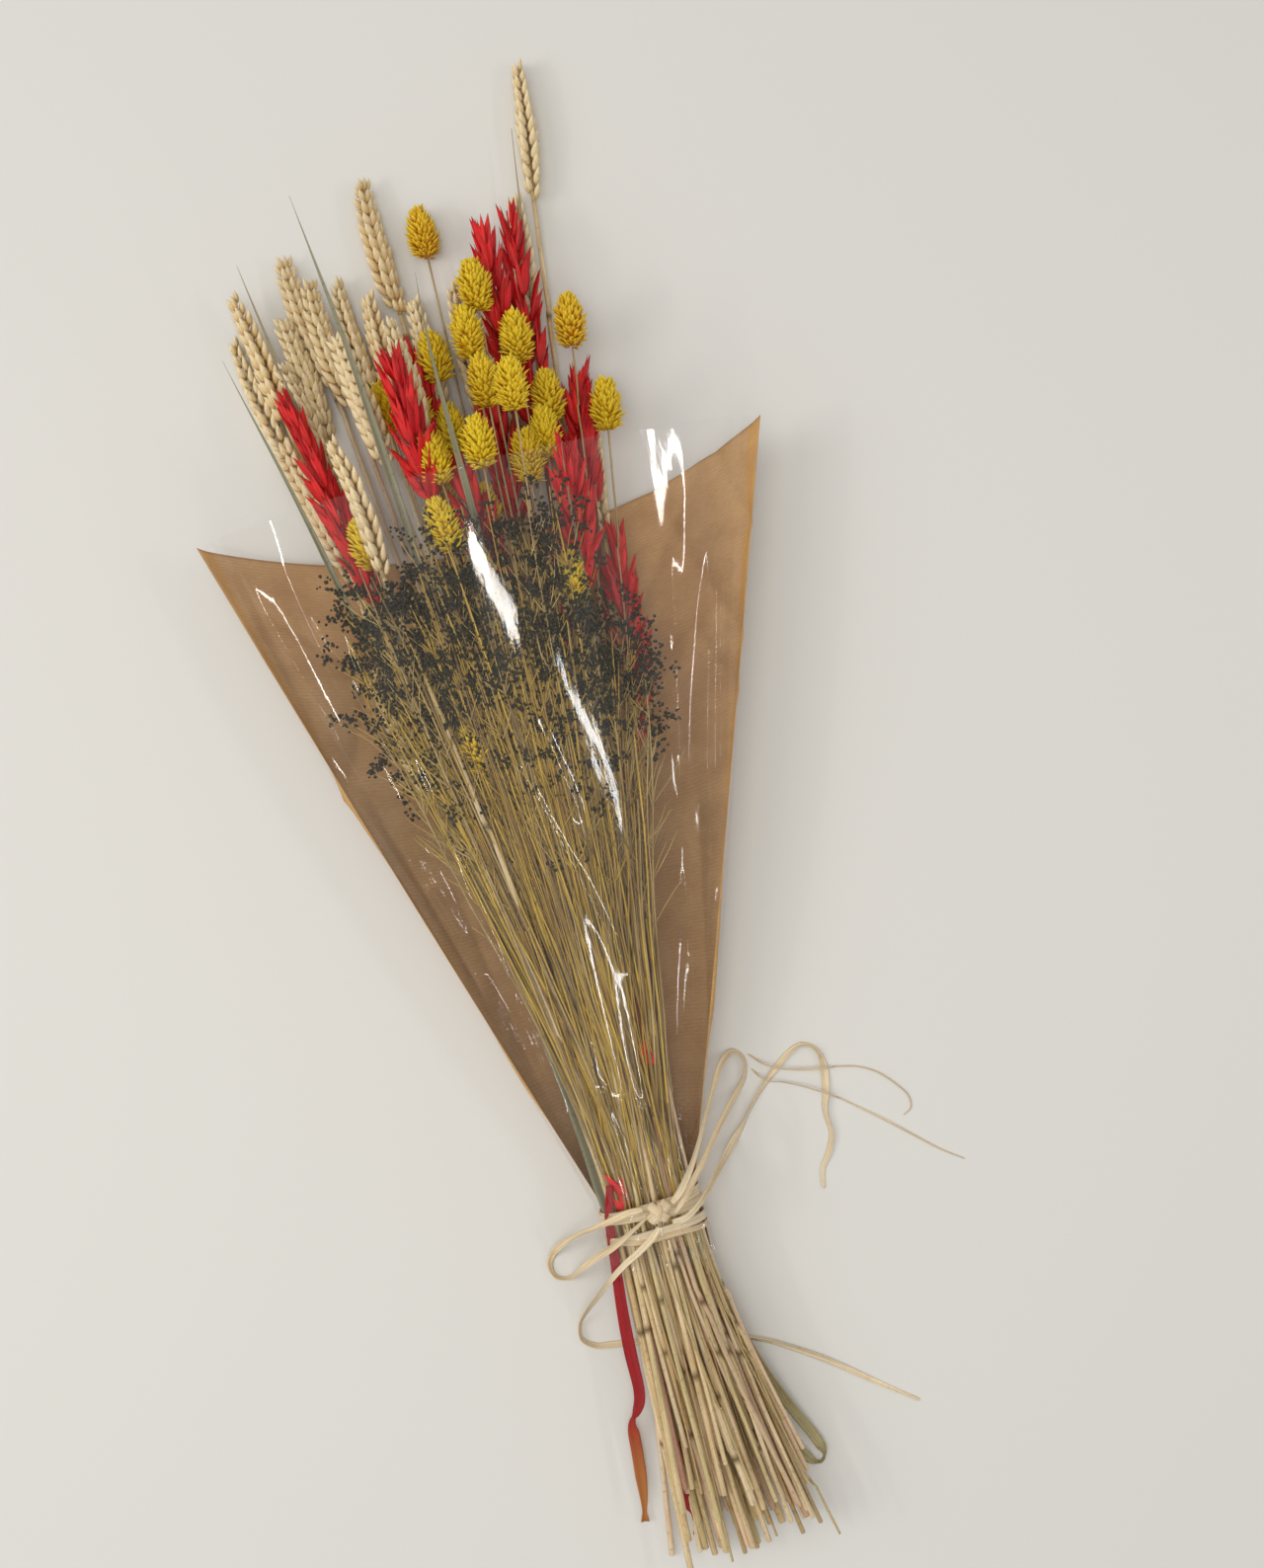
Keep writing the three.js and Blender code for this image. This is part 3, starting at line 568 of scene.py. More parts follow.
straw_colours = [(0.92, 0.73, 0.46), (0.74, 0.52, 0.24), (0.96, 0.80, 0.54), (0.86, 0.60, 0.38),
                 (0.70, 0.56, 0.27), (0.88, 0.67, 0.38)]
straw_finish = dried_material("straw", straw_colours, (0.16, 0.10, 0.035), roughness=0.5)
plants = [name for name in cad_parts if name.startswith(("wheat", "canary", "oat", "broom", "leaf"))]
courses = {name: course_of(name) for name in sorted(plants)}

# ---------------------------------------------------------------- ears of wheat
# An ear is a rachis with two rows of plump, overlapping florets that make a braid. Each floret is a
# keeled, pointed husk, pale straw with a browner base.

head_rings = {"wheat": 5, "canary": 6, "oat": 5, "broom": 5}


def spindle(heights, radii, tone, sides=6, flat=1.0, skin=1):
    """A body about the z axis: circles of the given radii at the given heights, flattened by a factor."""
    path = columns(0, 0, heights)
    beside, above = np.tile([1.0, 0, 0], (len(path), 1)), np.tile([0, 1.0, 0], (len(path), 1))
    return carried(path, round_section(radii, sides, flat), beside, above, tone, skin)


def husk(widths, sides=6, flat=0.8, skin=1):
    """A pointed husk of length 1 along z and half width 1: (place, half width) pairs give its rings."""
    height, half = np.array(widths).T
    shape = spindle(height, half, columns(0, height, 0), sides, flat, skin)
    shape["points"][-1, 2] = 1.0
    shape["tone"][-1, 1] = 1.0
    shape["grain"] = shape["points"] * [0.0016, 0.0016, 0.010]
    return shape


def stood(directions, sideways, lengths, widths, thicknesses):
    """Axes for copies: z along each direction, x as near to sideways as it can be, and y across both."""
    z = unit(directions)
    x = unit(sideways - z * (sideways * z).sum(-1, keepdims=True))
    y = np.cross(z, x)
    return columns(x * widths[:, None], y * thicknesses[:, None], z * lengths[:, None])


table_gap = 0.0002


def lifted(points):
    """The points moved up by as much as the lowest of them would otherwise dip into the table."""
    return points + np.array([0, 0, 1.0]) * max(0, table_gap - points[:, 2].min())


def set_on(shape, base, tip, roll=0.0, bow=0.0):
    """A head made along z from 0 to its length, set between base and tip: turned about its own axis by
    roll, bowed sideways by bow·4t(1 - t), and kept off the table."""
    span = np.asarray(tip) - np.asarray(base)
    along = unit(span)
    above = unit(np.array([0, 0, 1.0]) - along * along[2])
    beside = np.cross(above, along)
    x = beside * math.cos(roll) + above * math.sin(roll)
    y = above * math.cos(roll) - beside * math.sin(roll)
    points = shape["points"]
    t = np.clip(points[:, 2] / np.linalg.norm(span), 0, 1)
    placed = points @ np.stack([x, y, along]) + np.asarray(base)
    return {**shape, "points": lifted(placed + (4 * t * (1 - t) * bow)[:, None] * beside)}


floret = husk([(0, 0.35), (0.14, 0.85), (0.38, 1.0), (0.62, 0.78), (0.82, 0.36), (0.93, 0.12)])


def wheat_ear(length, tone):
    """Levels of spikelets go left and right in turn up the rachis. At each, three florets fan out in
    thickness, leaning out by up to 26°, and their size follows 0.62 + 0.38·sin(pi·t^0.7)."""
    levels = 21
    level, fan = (part.ravel() for part in np.meshgrid(
        np.arange(levels), np.array([-1.0, 0, 1.0]), indexing="ij"))
    side = np.where(level % 2, 1.0, -1.0)
    t = level / (levels - 1)
    size = 0.62 + 0.38 * np.sin(math.pi * np.clip(t, 0.02, 1) ** 0.7)
    wobble = rng.normal(0, 0.06, (3, len(level)))
    lean = 0.40 * (1 - 0.5 * t)
    directions = columns(side * lean * np.where(fan == 0, 1.2, 0.7) + wobble[0], fan * 0.42 + wobble[1], 1)
    places = columns(side * 0.0016 * size, fan * 0.0021, 0.001 + t * (length - 0.0105))
    axes = stood(directions, np.array([0, 1.0, 0]),
                 0.0104 * size * rng.uniform(0.94, 1.08, len(level)), 0.0028 * size, 0.0027 * size)
    tones = columns(tone + rng.uniform(-0.12, 0.12, len(level)), 0, 0)
    rachis = spindle(np.array([0, length - 0.008]), [0.0012, 0.0006], [tone, 0, 0.3])
    return joined([copies(floret, places, axes, tones), rachis])


wheat_finish = dried_material(
    "wheat_husk", [(0.74, 0.50, 0.20), (0.88, 0.70, 0.40), (0.82, 0.63, 0.34), (0.92, 0.77, 0.48)],
    (0.20, 0.13, 0.06), streak=(0.0003, 0.0003, 0.012), spread=0.14, tips=(0.1, 0.85, (0.94, 0.78, 0.50)),
    roughness=0.62, relief=0.0003)


def up_to_head(course, kind):
    """The stalk's part of a course, the base of its head and its tip."""
    rings = head_rings[kind]
    stalk = course[:len(course) - rings + 1].copy()
    stalk[-1, 3] = stalk[-2, 3]
    return stalk, course[-rings, :3], course[-1, :3]


for name in [n for n in courses if n.startswith("wheat")]:
    stalk, base, tip = up_to_head(courses[name], "wheat")
    tone = rng.uniform(0.1, 0.9)
    ear = wheat_ear(np.linalg.norm(tip - base), 0.0 if name in ("wheat_02", "wheat_08") else tone)
    shape = joined([straw(stalk, rng.random()),
                    set_on(ear, base, tip, rng.uniform(-0.9, 0.9), rng.uniform(-0.003, 0.003))])
    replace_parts(piece_of(name.replace("wheat", "wheat_stalk"), shape, [straw_finish, wheat_finish],
                         "wheat_straw"), name)

# ---------------------------------------------------------------- red oats
# Oats dyed red: long, papery, pointed husks hang two by two on short branches along the upper stalk,
# close together and leaning outwards, with darker, drier points.

glume = husk([(0, 0.2), (0.12, 0.7), (0.35, 1.0), (0.62, 0.72), (0.84, 0.30), (0.95, 0.10)], flat=0.42)


def oat_panicle(length, tone):
    """Spikelets turned by the golden angle up the stalk. Each has two glumes that part by 15° at the tip
    and a third between them, and leans out by 34° at the base of the panicle to 12° at its top."""
    count = int(24 + length * 150)
    t = (np.arange(count) + 0.5) / count
    around = np.arange(count) * math.radians(137.5) + rng.normal(0, 0.3, count)
    out = columns(np.cos(around), np.sin(around) * 0.8, 0)
    tangent = columns(-np.sin(around), np.cos(around), 0)
    lean = np.tan(np.radians(lerp(34, 12, t) * rng.uniform(0.5, 1.35, count)))
    size = (0.78 + 0.22 * np.sin(math.pi * t ** 0.8)) * rng.uniform(0.9, 1.12, count)
    reach = (0.0012 + 0.0034 * np.sin(math.pi * t ** 0.9)) * rng.uniform(0.4, 1.25, count)
    places = out * reach[:, None] + columns(0, 0, t * (length - 0.019))
    parts = []
    for parting, wide in ((-0.13, 1.0), (0.13, 1.0), (0.0, 0.75)):
        directions = (out * lean[:, None] + tangent * parting + np.array([0, 0, 1.0])
                      + rng.normal(0, 0.03, (count, 3)))
        axes = stood(directions, tangent + out * 0.5 * np.sign(parting),
                     0.0210 * size * (1.0 if parting else 0.86),
                     0.0027 * size * wide, 0.0022 * size * wide)
        tones = columns(tone + rng.uniform(-0.35, 0.35, count), 0, 0)
        parts.append(copies(glume, places, axes, tones))
    parts.append(spindle(np.array([0, length * 0.5, length - 0.012]), [0.0010, 0.0008, 0.0004],
                         [tone, 0, 0]))
    return joined(parts)


oat_finish = dried_material(
    "red_oat_husk",
    [(0.42, 0.004, 0.008), (0.74, 0.008, 0.012), (0.88, 0.035, 0.030), (0.62, 0.006, 0.012)],
    (0.10, 0.01, 0.01), streak=(0.0003, 0.0003, 0.010), spread=0.18, tips=(0.80, 1.0, (0.40, 0.04, 0.03)),
    roughness=0.50, relief=0.0003)
dyed_finish = dried_material("dyed_straw", [(0.72, 0.50, 0.32), (0.66, 0.34, 0.24), (0.74, 0.56, 0.34)],
                             (0.16, 0.06, 0.03), roughness=0.5, tips=(0.25, 0.5, (0.26, 0.055, 0.030)))
for name in [n for n in courses if n.startswith("oat")]:
    stalk, base, tip = up_to_head(courses[name], "oat")
    head = set_on(oat_panicle(np.linalg.norm(tip - base), rng.uniform(0.2, 0.8)), base, tip,
                  rng.uniform(0, 6), rng.uniform(-0.004, 0.004))
    shape = joined([straw(stalk, rng.random()), head])
    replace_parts(piece_of(name.replace("oat", "oat_stalk"), shape, [dyed_finish, oat_finish],
                         "red_oat"), name)

# ---------------------------------------------------------------- canary grass
# Egg-shaped heads of keeled, pointed bracts that overlap like scales, dyed yellow, on thin tan stalks.

bract = husk([(0, 0.3), (0.2, 0.85), (0.5, 1.0), (0.78, 0.6), (0.93, 0.18)], sides=5, flat=0.34)


def canary_head(length, radius, tone):
    """Bracts turned by the golden angle over an egg, r = radius·sin(pi·t^0.85)^0.5. Each starts six
    tenths of the way out, and leans from the axis by 74° at the base of the head to 17° at its top."""
    bracts = 250
    t = (np.arange(bracts) + 0.5) / bracts
    around = np.arange(bracts) * math.radians(137.508)
    out = columns(np.cos(around), np.sin(around), 0)
    tangent = columns(-np.sin(around), np.cos(around), 0)
    egg = radius * np.sin(math.pi * (0.03 + 0.94 * t) ** 0.85) ** 0.5
    lean = np.radians(lerp(74, 17, t ** 0.9)) * rng.uniform(0.7, 1.25, bracts)
    directions = out * np.sin(lean)[:, None] + np.array([0, 0, 1.0]) * np.cos(lean)[:, None]
    directions = directions + rng.normal(0, 0.16, (bracts, 3))
    size = lerp(0.85, 1.0, np.sin(math.pi * t)) * rng.uniform(0.8, 1.15, bracts)
    places = out * (egg * 0.60)[:, None] + np.array([0, 0, 1.0]) * (t * (length - 0.0056))[:, None]
    axes = stood(directions, tangent, 0.0053 * size * rng.uniform(0.85, 1.2, bracts),
                 0.0013 * size, 0.0015 * size)
    tones = columns(tone + rng.uniform(-0.2, 0.2, bracts), 0, 0)
    rise = np.linspace(0.03, 0.95, 8)
    core = spindle(rise * (length - 0.004), radius * 0.62 * np.sin(math.pi * rise ** 0.85) ** 0.6,
                   [tone, 0.1, 0], sides=8)
    return joined([copies(bract, places, axes, tones), core])


canary_finish = dried_material(
    "canary_bract", [(0.74, 0.30, 0.003), (0.76, 0.46, 0.006), (0.88, 0.60, 0.010), (0.76, 0.44, 0.006)],
    (0.18, 0.12, 0.02), streak=(0.0002, 0.0002, 0.004), spread=0.14, tips=(0.30, 0.95, (1.0, 0.78, 0.05)),
    roughness=0.75, relief=0.0003, fleck=0.15)
thin_finish = dried_material("thin_stalk", [(0.62, 0.42, 0.20), (0.55, 0.38, 0.18), (0.60, 0.46, 0.22)],
                             (0.30, 0.19, 0.06), roughness=0.55)
orange_heads = ("canary_01", "canary_03")
for name in [n for n in courses if n.startswith("canary")]:
    stalk, base, tip = up_to_head(courses[name], "canary")
    tone = 0.0 if name in orange_heads else rng.uniform(0.3, 1.0)
    head = canary_head(np.linalg.norm(tip - base) + 0.001, 0.0082 * rng.uniform(0.9, 1.08), tone)
    stalk[:, 3] *= np.linspace(0.85, 0.55, len(stalk))
    shape = joined([straw(stalk, rng.random(), sides=6), set_on(head, base, tip, rng.uniform(0, 6))])
    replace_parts(piece_of(name.replace("canary", "canary_stalk"), shape, [thin_finish, canary_finish],
                         "canary_grass"), name)

# ---------------------------------------------------------------- dark broom
# The filler is a fine, twiggy broom: wiry olive stems that part into hair-thin branches, each ending
# in a small spray of blackish seeds. It lies on top of everything else, right under the film.

seed_spots = np.array([                      # x and y of the thickest sprays from the tie, and their spread
    (0.016, 0.338, 0.012), (-0.008, 0.312, 0.016), (-0.026, 0.304, 0.014), (-0.058, 0.306, 0.011),
    (-0.066, 0.316, 0.007), (0.047, 0.262, 0.010), (-0.063, 0.243, 0.007), (0.018, 0.232, 0.008),
    (0.010, 0.262, 0.010), (-0.038, 0.322, 0.012), (-0.042, 0.280, 0.013), (-0.022, 0.276, 0.012),
    (0.033, 0.268, 0.009), (0.006, 0.292, 0.012),
])
spot_shares = np.array([
    0.11, 0.15, 0.12, 0.09, 0.05, 0.035, 0.04, 0.025, 0.03, 0.11, 0.08, 0.05, 0.03, 0.08])
seed = husk([(0.15, 0.8), (0.65, 1.0)], sides=4, flat=1.0)


def thread(points, radius, tone, rings):
    """A hair-thin twig: a tapering three-sided section along a soft curve through the given points."""
    steps = np.linspace(0, len(points) - 1, rings)
    path = columns(*(np.interp(steps, np.arange(len(points)), axis) for axis in np.transpose(points)))
    path = softened(path, 1)
    section = round_section(radius * np.linspace(1.0, 0.55, rings), 3)
    return carried(path, section, *axes_along(path), [tone, 0.5, 0])


def under_film(x, y, below):
    """Height at a depth below the film, which is above the sleeve's top edge where the sleeve has ended."""
    return film_height(x, np.minimum(y, sleeve_top)) - below


def twig(spot, spread, tone):
    """A twig from the neck to a spray: its stem bends out of the neck as the stalks do, side twigs leave
    its last third at 10° to 38°, and those nearest its tip end in a spray of seeds."""
    tip = spot + [0, 0.007] + rng.normal(0, spread, 2) * [1.0, 1.3]
    tip[1] = np.clip(tip[1], 0.21, 0.362)
    limit = sleeve_section(tip[1]).half * 0.80
    tip[0] = np.clip(tip[0], -limit, limit)
    slot = np.clip(tip[0] * 0.20 + rng.normal(0, 0.006), -0.018, 0.018)
    deep = rng.uniform(0.0018, 0.0075)
    y = np.linspace(rng.uniform(-0.012, 0.03), tip[1], 13)
    x = (slot + bend_out(y) / bend_out(tip[1]) * (tip[0] - slot)
         + 0.0014 * np.sin(y * rng.uniform(50, 110) + rng.uniform(0, 6)))
    z = under_film(x, y, deep + 0.0010 * np.sin(y * 60 + rng.uniform(0, 6)))
    stem = columns(x, y, z)
    parts = [thread(stem, rng.uniform(0.0005, 0.0009), tone, rings=13)]
    seeds = []
    for start in rng.uniform(0.45, 1.0, rng.integers(11, 17)) ** 0.6:
        at = stem[int(start * 12)] + rng.normal(0, 0.0004, 3)
        swing = math.radians(rng.uniform(10, 38)) * rng.choice([-1, 1])
        heading = math.atan2(tip[0] - slot, tip[1]) + swing
        reach = rng.uniform(0.012, 0.034)
        ends = at + np.array([math.sin(heading), math.cos(heading), 0]) * reach
        middle = (at + ends) / 2 + rng.normal(0, 0.0016, 3)
        ends[2] = under_film(ends[0], ends[1], rng.uniform(0.0022, 0.009))
        middle[2] = min(middle[2], under_film(middle[0], middle[1], 0.0015))
        parts.append(thread([at, middle, ends], 0.00032, tone + 0.15, rings=4))
        if start < 0.86 and rng.random() < 0.955:
            continue
        sprays = rng.integers(9, 17)
        around = rng.uniform(0, 2 * math.pi, sprays)
        out = rng.uniform(0.0004, 0.0046, sprays)
        grown = ends + columns(np.cos(around) * out, np.sin(around) * out + 0.0015,
                               rng.normal(0, 0.0013, sprays))
        grown[:, 2] = np.minimum(grown[:, 2], under_film(grown[:, 0], grown[:, 1], 0.0016))
        seeds.append(grown)
    return parts, seeds


def bare_twig(tone):
    """A wiry stem without a spray, that fills the front of the bunch from the neck upwards."""
    y = np.linspace(rng.uniform(-0.024, 0.02), rng.uniform(0.14, 0.32), 12)
    slot = rng.uniform(-0.018, 0.018)
    end = slot * 1.2 + rng.uniform(-0.30, 0.30) * sleeve_section(y[-1]).half
    x = (slot + bend_out(y) / bend_out(y[-1]) * (end - slot)
         + 0.0012 * np.sin(y * rng.uniform(40, 90) + rng.uniform(0, 6)))
    z = under_film(x, y, rng.uniform(0.0022, 0.010) + 0.0010 * np.sin(y * 50 + rng.uniform(0, 6)))
    return thread(columns(x, y, z), rng.uniform(0.0006, 0.0012), tone, rings=12)


def broom_spray(count, spots, shares):
    """Many twigs towards the given spots, and a seed at the end of every hair of their sprays."""
    parts, seeds = [bare_twig(rng.uniform(0, 1)) for _ in range(count // 2)], []
    for k in rng.choice(len(spots), count, p=shares / shares.sum()):
        twigs, grown = twig(spots[k, :2], spots[k, 2], rng.uniform(0, 1))
        parts += twigs
        seeds += grown
    seeds = np.concatenate(seeds)
    size = rng.uniform(0.00065, 0.00115, len(seeds))
    directions = rng.normal(0, 1, (len(seeds), 3)) + [0, 0.8, 0.4]
    axes = stood(directions, rng.normal(0, 1, (len(seeds), 3)), size * 1.9, size, size)
    tones = columns(rng.uniform(0, 1, len(seeds)), 0, 0)
    parts.append(copies(seed, seeds - unit(directions) * size[:, None], axes, tones))
    return joined(parts)


twig_finish = dried_material(
    "broom_twig", [(0.42, 0.25, 0.06), (0.74, 0.50, 0.09), (0.22, 0.13, 0.05), (0.66, 0.48, 0.20)],
    (0.1, 0.07, 0.02), roughness=0.65, spread=0.12)
seed_finish = dried_material(
    "broom_seed", [(0.010, 0.009, 0.004), (0.055, 0.044, 0.012), (0.018, 0.016, 0.007)],
    (0.02, 0.02, 0.01), roughness=0.6, streak=(0.3, 0.3, 0.3))
plume_spots = {
    "broom_01": [5, 12], "broom_02": [3, 4, 6, 9, 10],
    "broom_03": [1, 2, 11, 13, 8], "broom_04": [0, 7, 13, 1],
}
for name, chosen in plume_spots.items():
    stalk, base, tip = up_to_head(courses[name], "broom")
    spray = broom_spray(20 + 8 * len(chosen), seed_spots[chosen], spot_shares[chosen])
    spray["points"] = spray["points"] + tie
    main = np.concatenate([stalk, courses[name][-head_rings["broom"] + 1:-1]])
    main[:, 3] = np.minimum(main[:, 3], np.linspace(0.0017, 0.0007, len(main)))
    shape = joined([straw(main, rng.random(), joint_gap=0.2, sides=6),
                    {**spray, "skin": spray["skin"] + 1}])
    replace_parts(piece_of(name.replace("broom", "broom_plume"), shape,
                         [straw_finish, twig_finish, seed_finish], "dark_broom"), name)

# ---------------------------------------------------------------- grass leaves
# Dry leaf blades, thin and folded lightly along the midrib. Three stand among the heads, and two are
# caught under the tie and hang out below it: one dyed red and one folded over near its end.


blade_thickness = 0.00028


def blade(path, width, fold, roll, tone):
    """A leaf: a V-shaped section, whose sides rise by fold times the half width, carried along a path with
    its width, fold and roll given at each point."""
    line = np.array([-1, -0.66, -0.33, 0, 0.33, 0.66, 1])
    half, rise = width[:, None] / 2, fold[:, None]
    sides = [columns(half * across_blade, half * np.abs(across_blade) * rise + shift)
             for across_blade, shift in ((line, -blade_thickness / 2), (line[::-1], blade_thickness / 2))]
    return carried(path, np.concatenate(sides, axis=1), *axes_along(path, roll), tone)


def curve_through(points, count):
    """A smooth curve through points (Catmull-Rom): each stretch is the cubic whose slope at a point is
    half the way between its neighbours."""
    given = np.asarray(points, float)
    ends = np.concatenate([[2 * given[0] - given[1]], given, [2 * given[-1] - given[-2]]])
    at = np.linspace(0, len(given) - 1, count)
    k = np.minimum(at.astype(int), len(given) - 2)
    t = (at - k)[:, None]
    a, b, c, d = (ends[k + shift] for shift in range(4))
    return 0.5 * (2 * b + (c - a) * t + (2 * a - 5 * b + 4 * c - d) * t ** 2
                  + (3 * b - a - 3 * c + d) * t ** 3)


leaf_finish = dried_material("dry_leaf", [(0.36, 0.33, 0.22), (0.28, 0.27, 0.16), (0.50, 0.40, 0.22)],
                             (0.18, 0.14, 0.06), streak=(0.00035, 0.0004, 0.05), spread=0.2, roughness=0.6,
                             tips=(0.75, 1.0, (0.45, 0.36, 0.20)))
red_leaf_finish = dried_material(
    "red_leaf", [(0.50, 0.008, 0.014), (0.36, 0.008, 0.012), (0.58, 0.02, 0.018)],
    (0.42, 0.15, 0.03), streak=(0.0004, 0.0004, 0.04), spread=0.25, roughness=0.5)
folded_finish = dried_material(
    "green_leaf", [(0.60, 0.52, 0.28), (0.46, 0.39, 0.19), (0.70, 0.58, 0.33)],
    (0.16, 0.11, 0.04), streak=(0.00035, 0.0004, 0.05), spread=0.25, roughness=0.6)
high_leaves = {   # width, tone and twist
    "leaf_grey": (0.0042, 0.1, 0.9), "leaf_bent": (0.0040, 1.0, 2.4), "leaf_wide": (0.0095, 0.45, 0.6),
}
for name, (width, tone, twist) in high_leaves.items():
    course = courses[name]
    t = np.linspace(0, 1, 46)
    y = np.linspace(course[0, 1], course[-1, 1], len(t))
    path = on_course(course, y, 4)
    taper = np.minimum(1, 6 * t + 0.3) * np.minimum(1, (2.6 * (1 - t)) ** 0.8 + 0.02)
    path[:, 0] += 0.004 * t ** 2 * np.sin(5 * t + tone)
    shape = blade(path, width * taper, 0.35 + 0.25 * np.sin(6 * t), twist * (t - 0.3) ** 2,
                  columns(tone, t, 0))
    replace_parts(piece_of(name.replace("leaf", "blade"), shape, [leaf_finish], "dry_leaf"), name)

red_way = [
    (-0.017, 0.020, 0.036), (-0.0215, 0.002, 0.030), (-0.0235, -0.020, 0.0265), (-0.0258, -0.045, 0.0235),
    (-0.0270, -0.068, 0.0195), (-0.0275, -0.090, 0.0145), (-0.0300, -0.101, 0.0105),
    (-0.0355, -0.110, 0.0062), (-0.0372, -0.128, 0.0040), (-0.0390, -0.147, 0.0034),
    (-0.0415, -0.161, 0.0024),
]
t = np.linspace(0, 1, 60)
width = np.interp(t, [0, 0.15, 0.4, 0.62, 0.66, 0.72, 0.85, 0.96, 1],
                  [3.6, 5.0, 7.2, 6.0, 3.2, 6.2, 6.0, 2.2, 4.6]) / 1000
roll = np.interp(t, [0, 0.3, 0.55, 0.64, 0.72, 1], [0.2, 0.35, 0.55, 1.1, 0.1, -0.2])
fold = np.interp(t, [0, 0.5, 0.65, 0.75, 1], [0.5, 0.25, 0.9, 0.12, 0.4])
rust = eased(t, 0.62, 0.90)
shape = blade(curve_through(red_way, len(t)) + tie, width, fold, roll, columns(0.3, t, rust))
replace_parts(piece_of("red_leaf", shape, [red_leaf_finish], "red_leaf"), "leaf_red")

folded_way = [
    (0.0195, 0.018, 0.030), (0.0205, -0.010, 0.028), (0.0245, -0.045, 0.024), (0.0340, -0.085, 0.0165),
    (0.0450, -0.116, 0.0085), (0.0530, -0.134, 0.0036), (0.0572, -0.1445, 0.0028),
    (0.0572, -0.1498, 0.0032), (0.0536, -0.1515, 0.0040), (0.0480, -0.1465, 0.0058),
    (0.0410, -0.1330, 0.0080), (0.0330, -0.1160, 0.0110),
]
t = np.linspace(0, 1, 70)
width = np.interp(t, [0, 0.3, 0.55, 0.62, 0.74, 0.82, 0.9, 1],
                  [3.0, 5.2, 6.0, 3.2, 3.2, 5.6, 4.6, 1.4]) / 1000
roll = np.interp(t, [0, 0.5, 0.62, 0.74, 0.84, 1], [0.0, 0.15, 1.35, 1.35, 0.3, 0.0])
shape = blade(curve_through(folded_way, len(t)) + tie, width, 0.25 + 0.1 * np.sin(9 * t), roll,
              columns(0.4 + 0.3 * np.sin(8 * t), t * 0.7, 0))
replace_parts(piece_of("folded_leaf", shape, [folded_finish], "dry_leaf"), "leaf_folded")

# ---------------------------------------------------------------- loose stalks
# The rest of the bunch: stalks whose heads have broken off or lie deep in it, which fill the neck and
# the fan of cut ends. Each takes the course with the most room among those already laid.

plane_y = np.arange(-0.190, 0.575, 0.006)
highest = 0.088                              # nothing that stands loose reaches above this


def over_planes(course):
    """A stalk's x, z and radius on every plane, with none where the stalk doesn't reach."""
    rows = np.array([np.interp(plane_y, course[:, 1] - tie[1], course[:, k]) for k in (0, 2, 3)])
    outside = (plane_y < course[0, 1] - tie[1] - 0.003) | (plane_y > course[-1, 1] - tie[1] + 0.003)
    rows[:, outside] = np.nan
    return rows


laid = [over_planes(course) for course in courses.values()]
outline = np.array([np.nanmin([rows[0] for rows in laid] + [0 * plane_y], axis=0),
                    np.nanmax([rows[0] for rows in laid] + [0 * plane_y], axis=0)])


def loose_course(foot, tip, tip_x, radius, swell=None, front=-0.04):
    """The best of many courses: it bends out of the neck to its tip and to its cut end, above the table
    and the paper and under the film, and keeps the most room from every stalk laid before it. A
    positive front lets it lie high, and a negative one low."""
    tries, enough, edge_room = 420, 0.0006, 0.0002
    slots = rng.uniform(-0.0225, 0.0225, tries)
    holds = rng.uniform(0.0045, neck_crown - 0.001, tries)
    foot_x = 0.010 + 1.6 * slots + rng.normal(0, 0.006, tries)
    rises = rng.uniform(-0.02, 0.17, tries)
    falls = rng.uniform(-0.12, 0.03, tries)
    below = plane_y < 0
    away = bend_out(plane_y)
    reach = outline[:, np.abs(plane_y - tip).argmin()] * 0.85
    target = rng.uniform(*reach, tries) if tip_x is None else np.full(tries, tip_x)
    head_slope = (target - slots) / bend_out(tip)
    foot_slope = (foot_x - slots) / bend_out(0.150)
    x = slots[:, None] + away * np.where(below, foot_slope[:, None], head_slope[:, None])
    z = holds[:, None] + away * np.where(below, falls[:, None], rises[:, None])
    used = (plane_y > foot) & (plane_y < tip)
    r = np.full(len(plane_y), radius)
    if swell:
        r = np.where(plane_y > tip - swell[0], swell[1], r)
    room = np.full((tries, len(plane_y)), 1.0)
    for other in laid:
        gap = np.hypot(x - other[0], z - other[1]) - other[2] - r
        room = np.fmin(room, gap)
    side = sleeve_section(plane_y)
    inside = (plane_y > sleeve_foot) & (plane_y < sleeve_top)
    walls = np.minimum(film_height(x, plane_y) - z - r, side.half - np.abs(x) - r - 0.001)
    room = np.where(inside, np.minimum(room, 6 * np.minimum(walls, edge_room)), room)
    out = np.maximum(np.abs(x) - side.strip, 0)
    bowl = side.lift + side.radius - np.sqrt(
        np.maximum((side.radius - paper_thickness) ** 2 - out ** 2, 1e-9))
    room = np.minimum(room, 6 * np.minimum(np.where(inside, z - bowl - r, z - r), edge_room))
    room = np.where(inside, room, np.minimum(room, 6 * np.minimum(highest - z - r, edge_room)))
    score = np.where(used, np.minimum(room, enough), enough)
    total = (score.min(axis=1) + 0.5 * score.mean(axis=1) + 0.02 * holds
             + front * (holds + rises * bend_out(tip)))
    best = total.argmax()
    y = np.linspace(foot, tip, 30)
    course = columns(np.interp(y, plane_y, x[best]), y + tie[1], np.interp(y, plane_y, z[best]),
                     radius * np.interp(y, [foot, tip - 0.12, tip], [1, 0.8, 0.8 if swell else 0.25]))
    laid.append(over_planes(course))
    return course


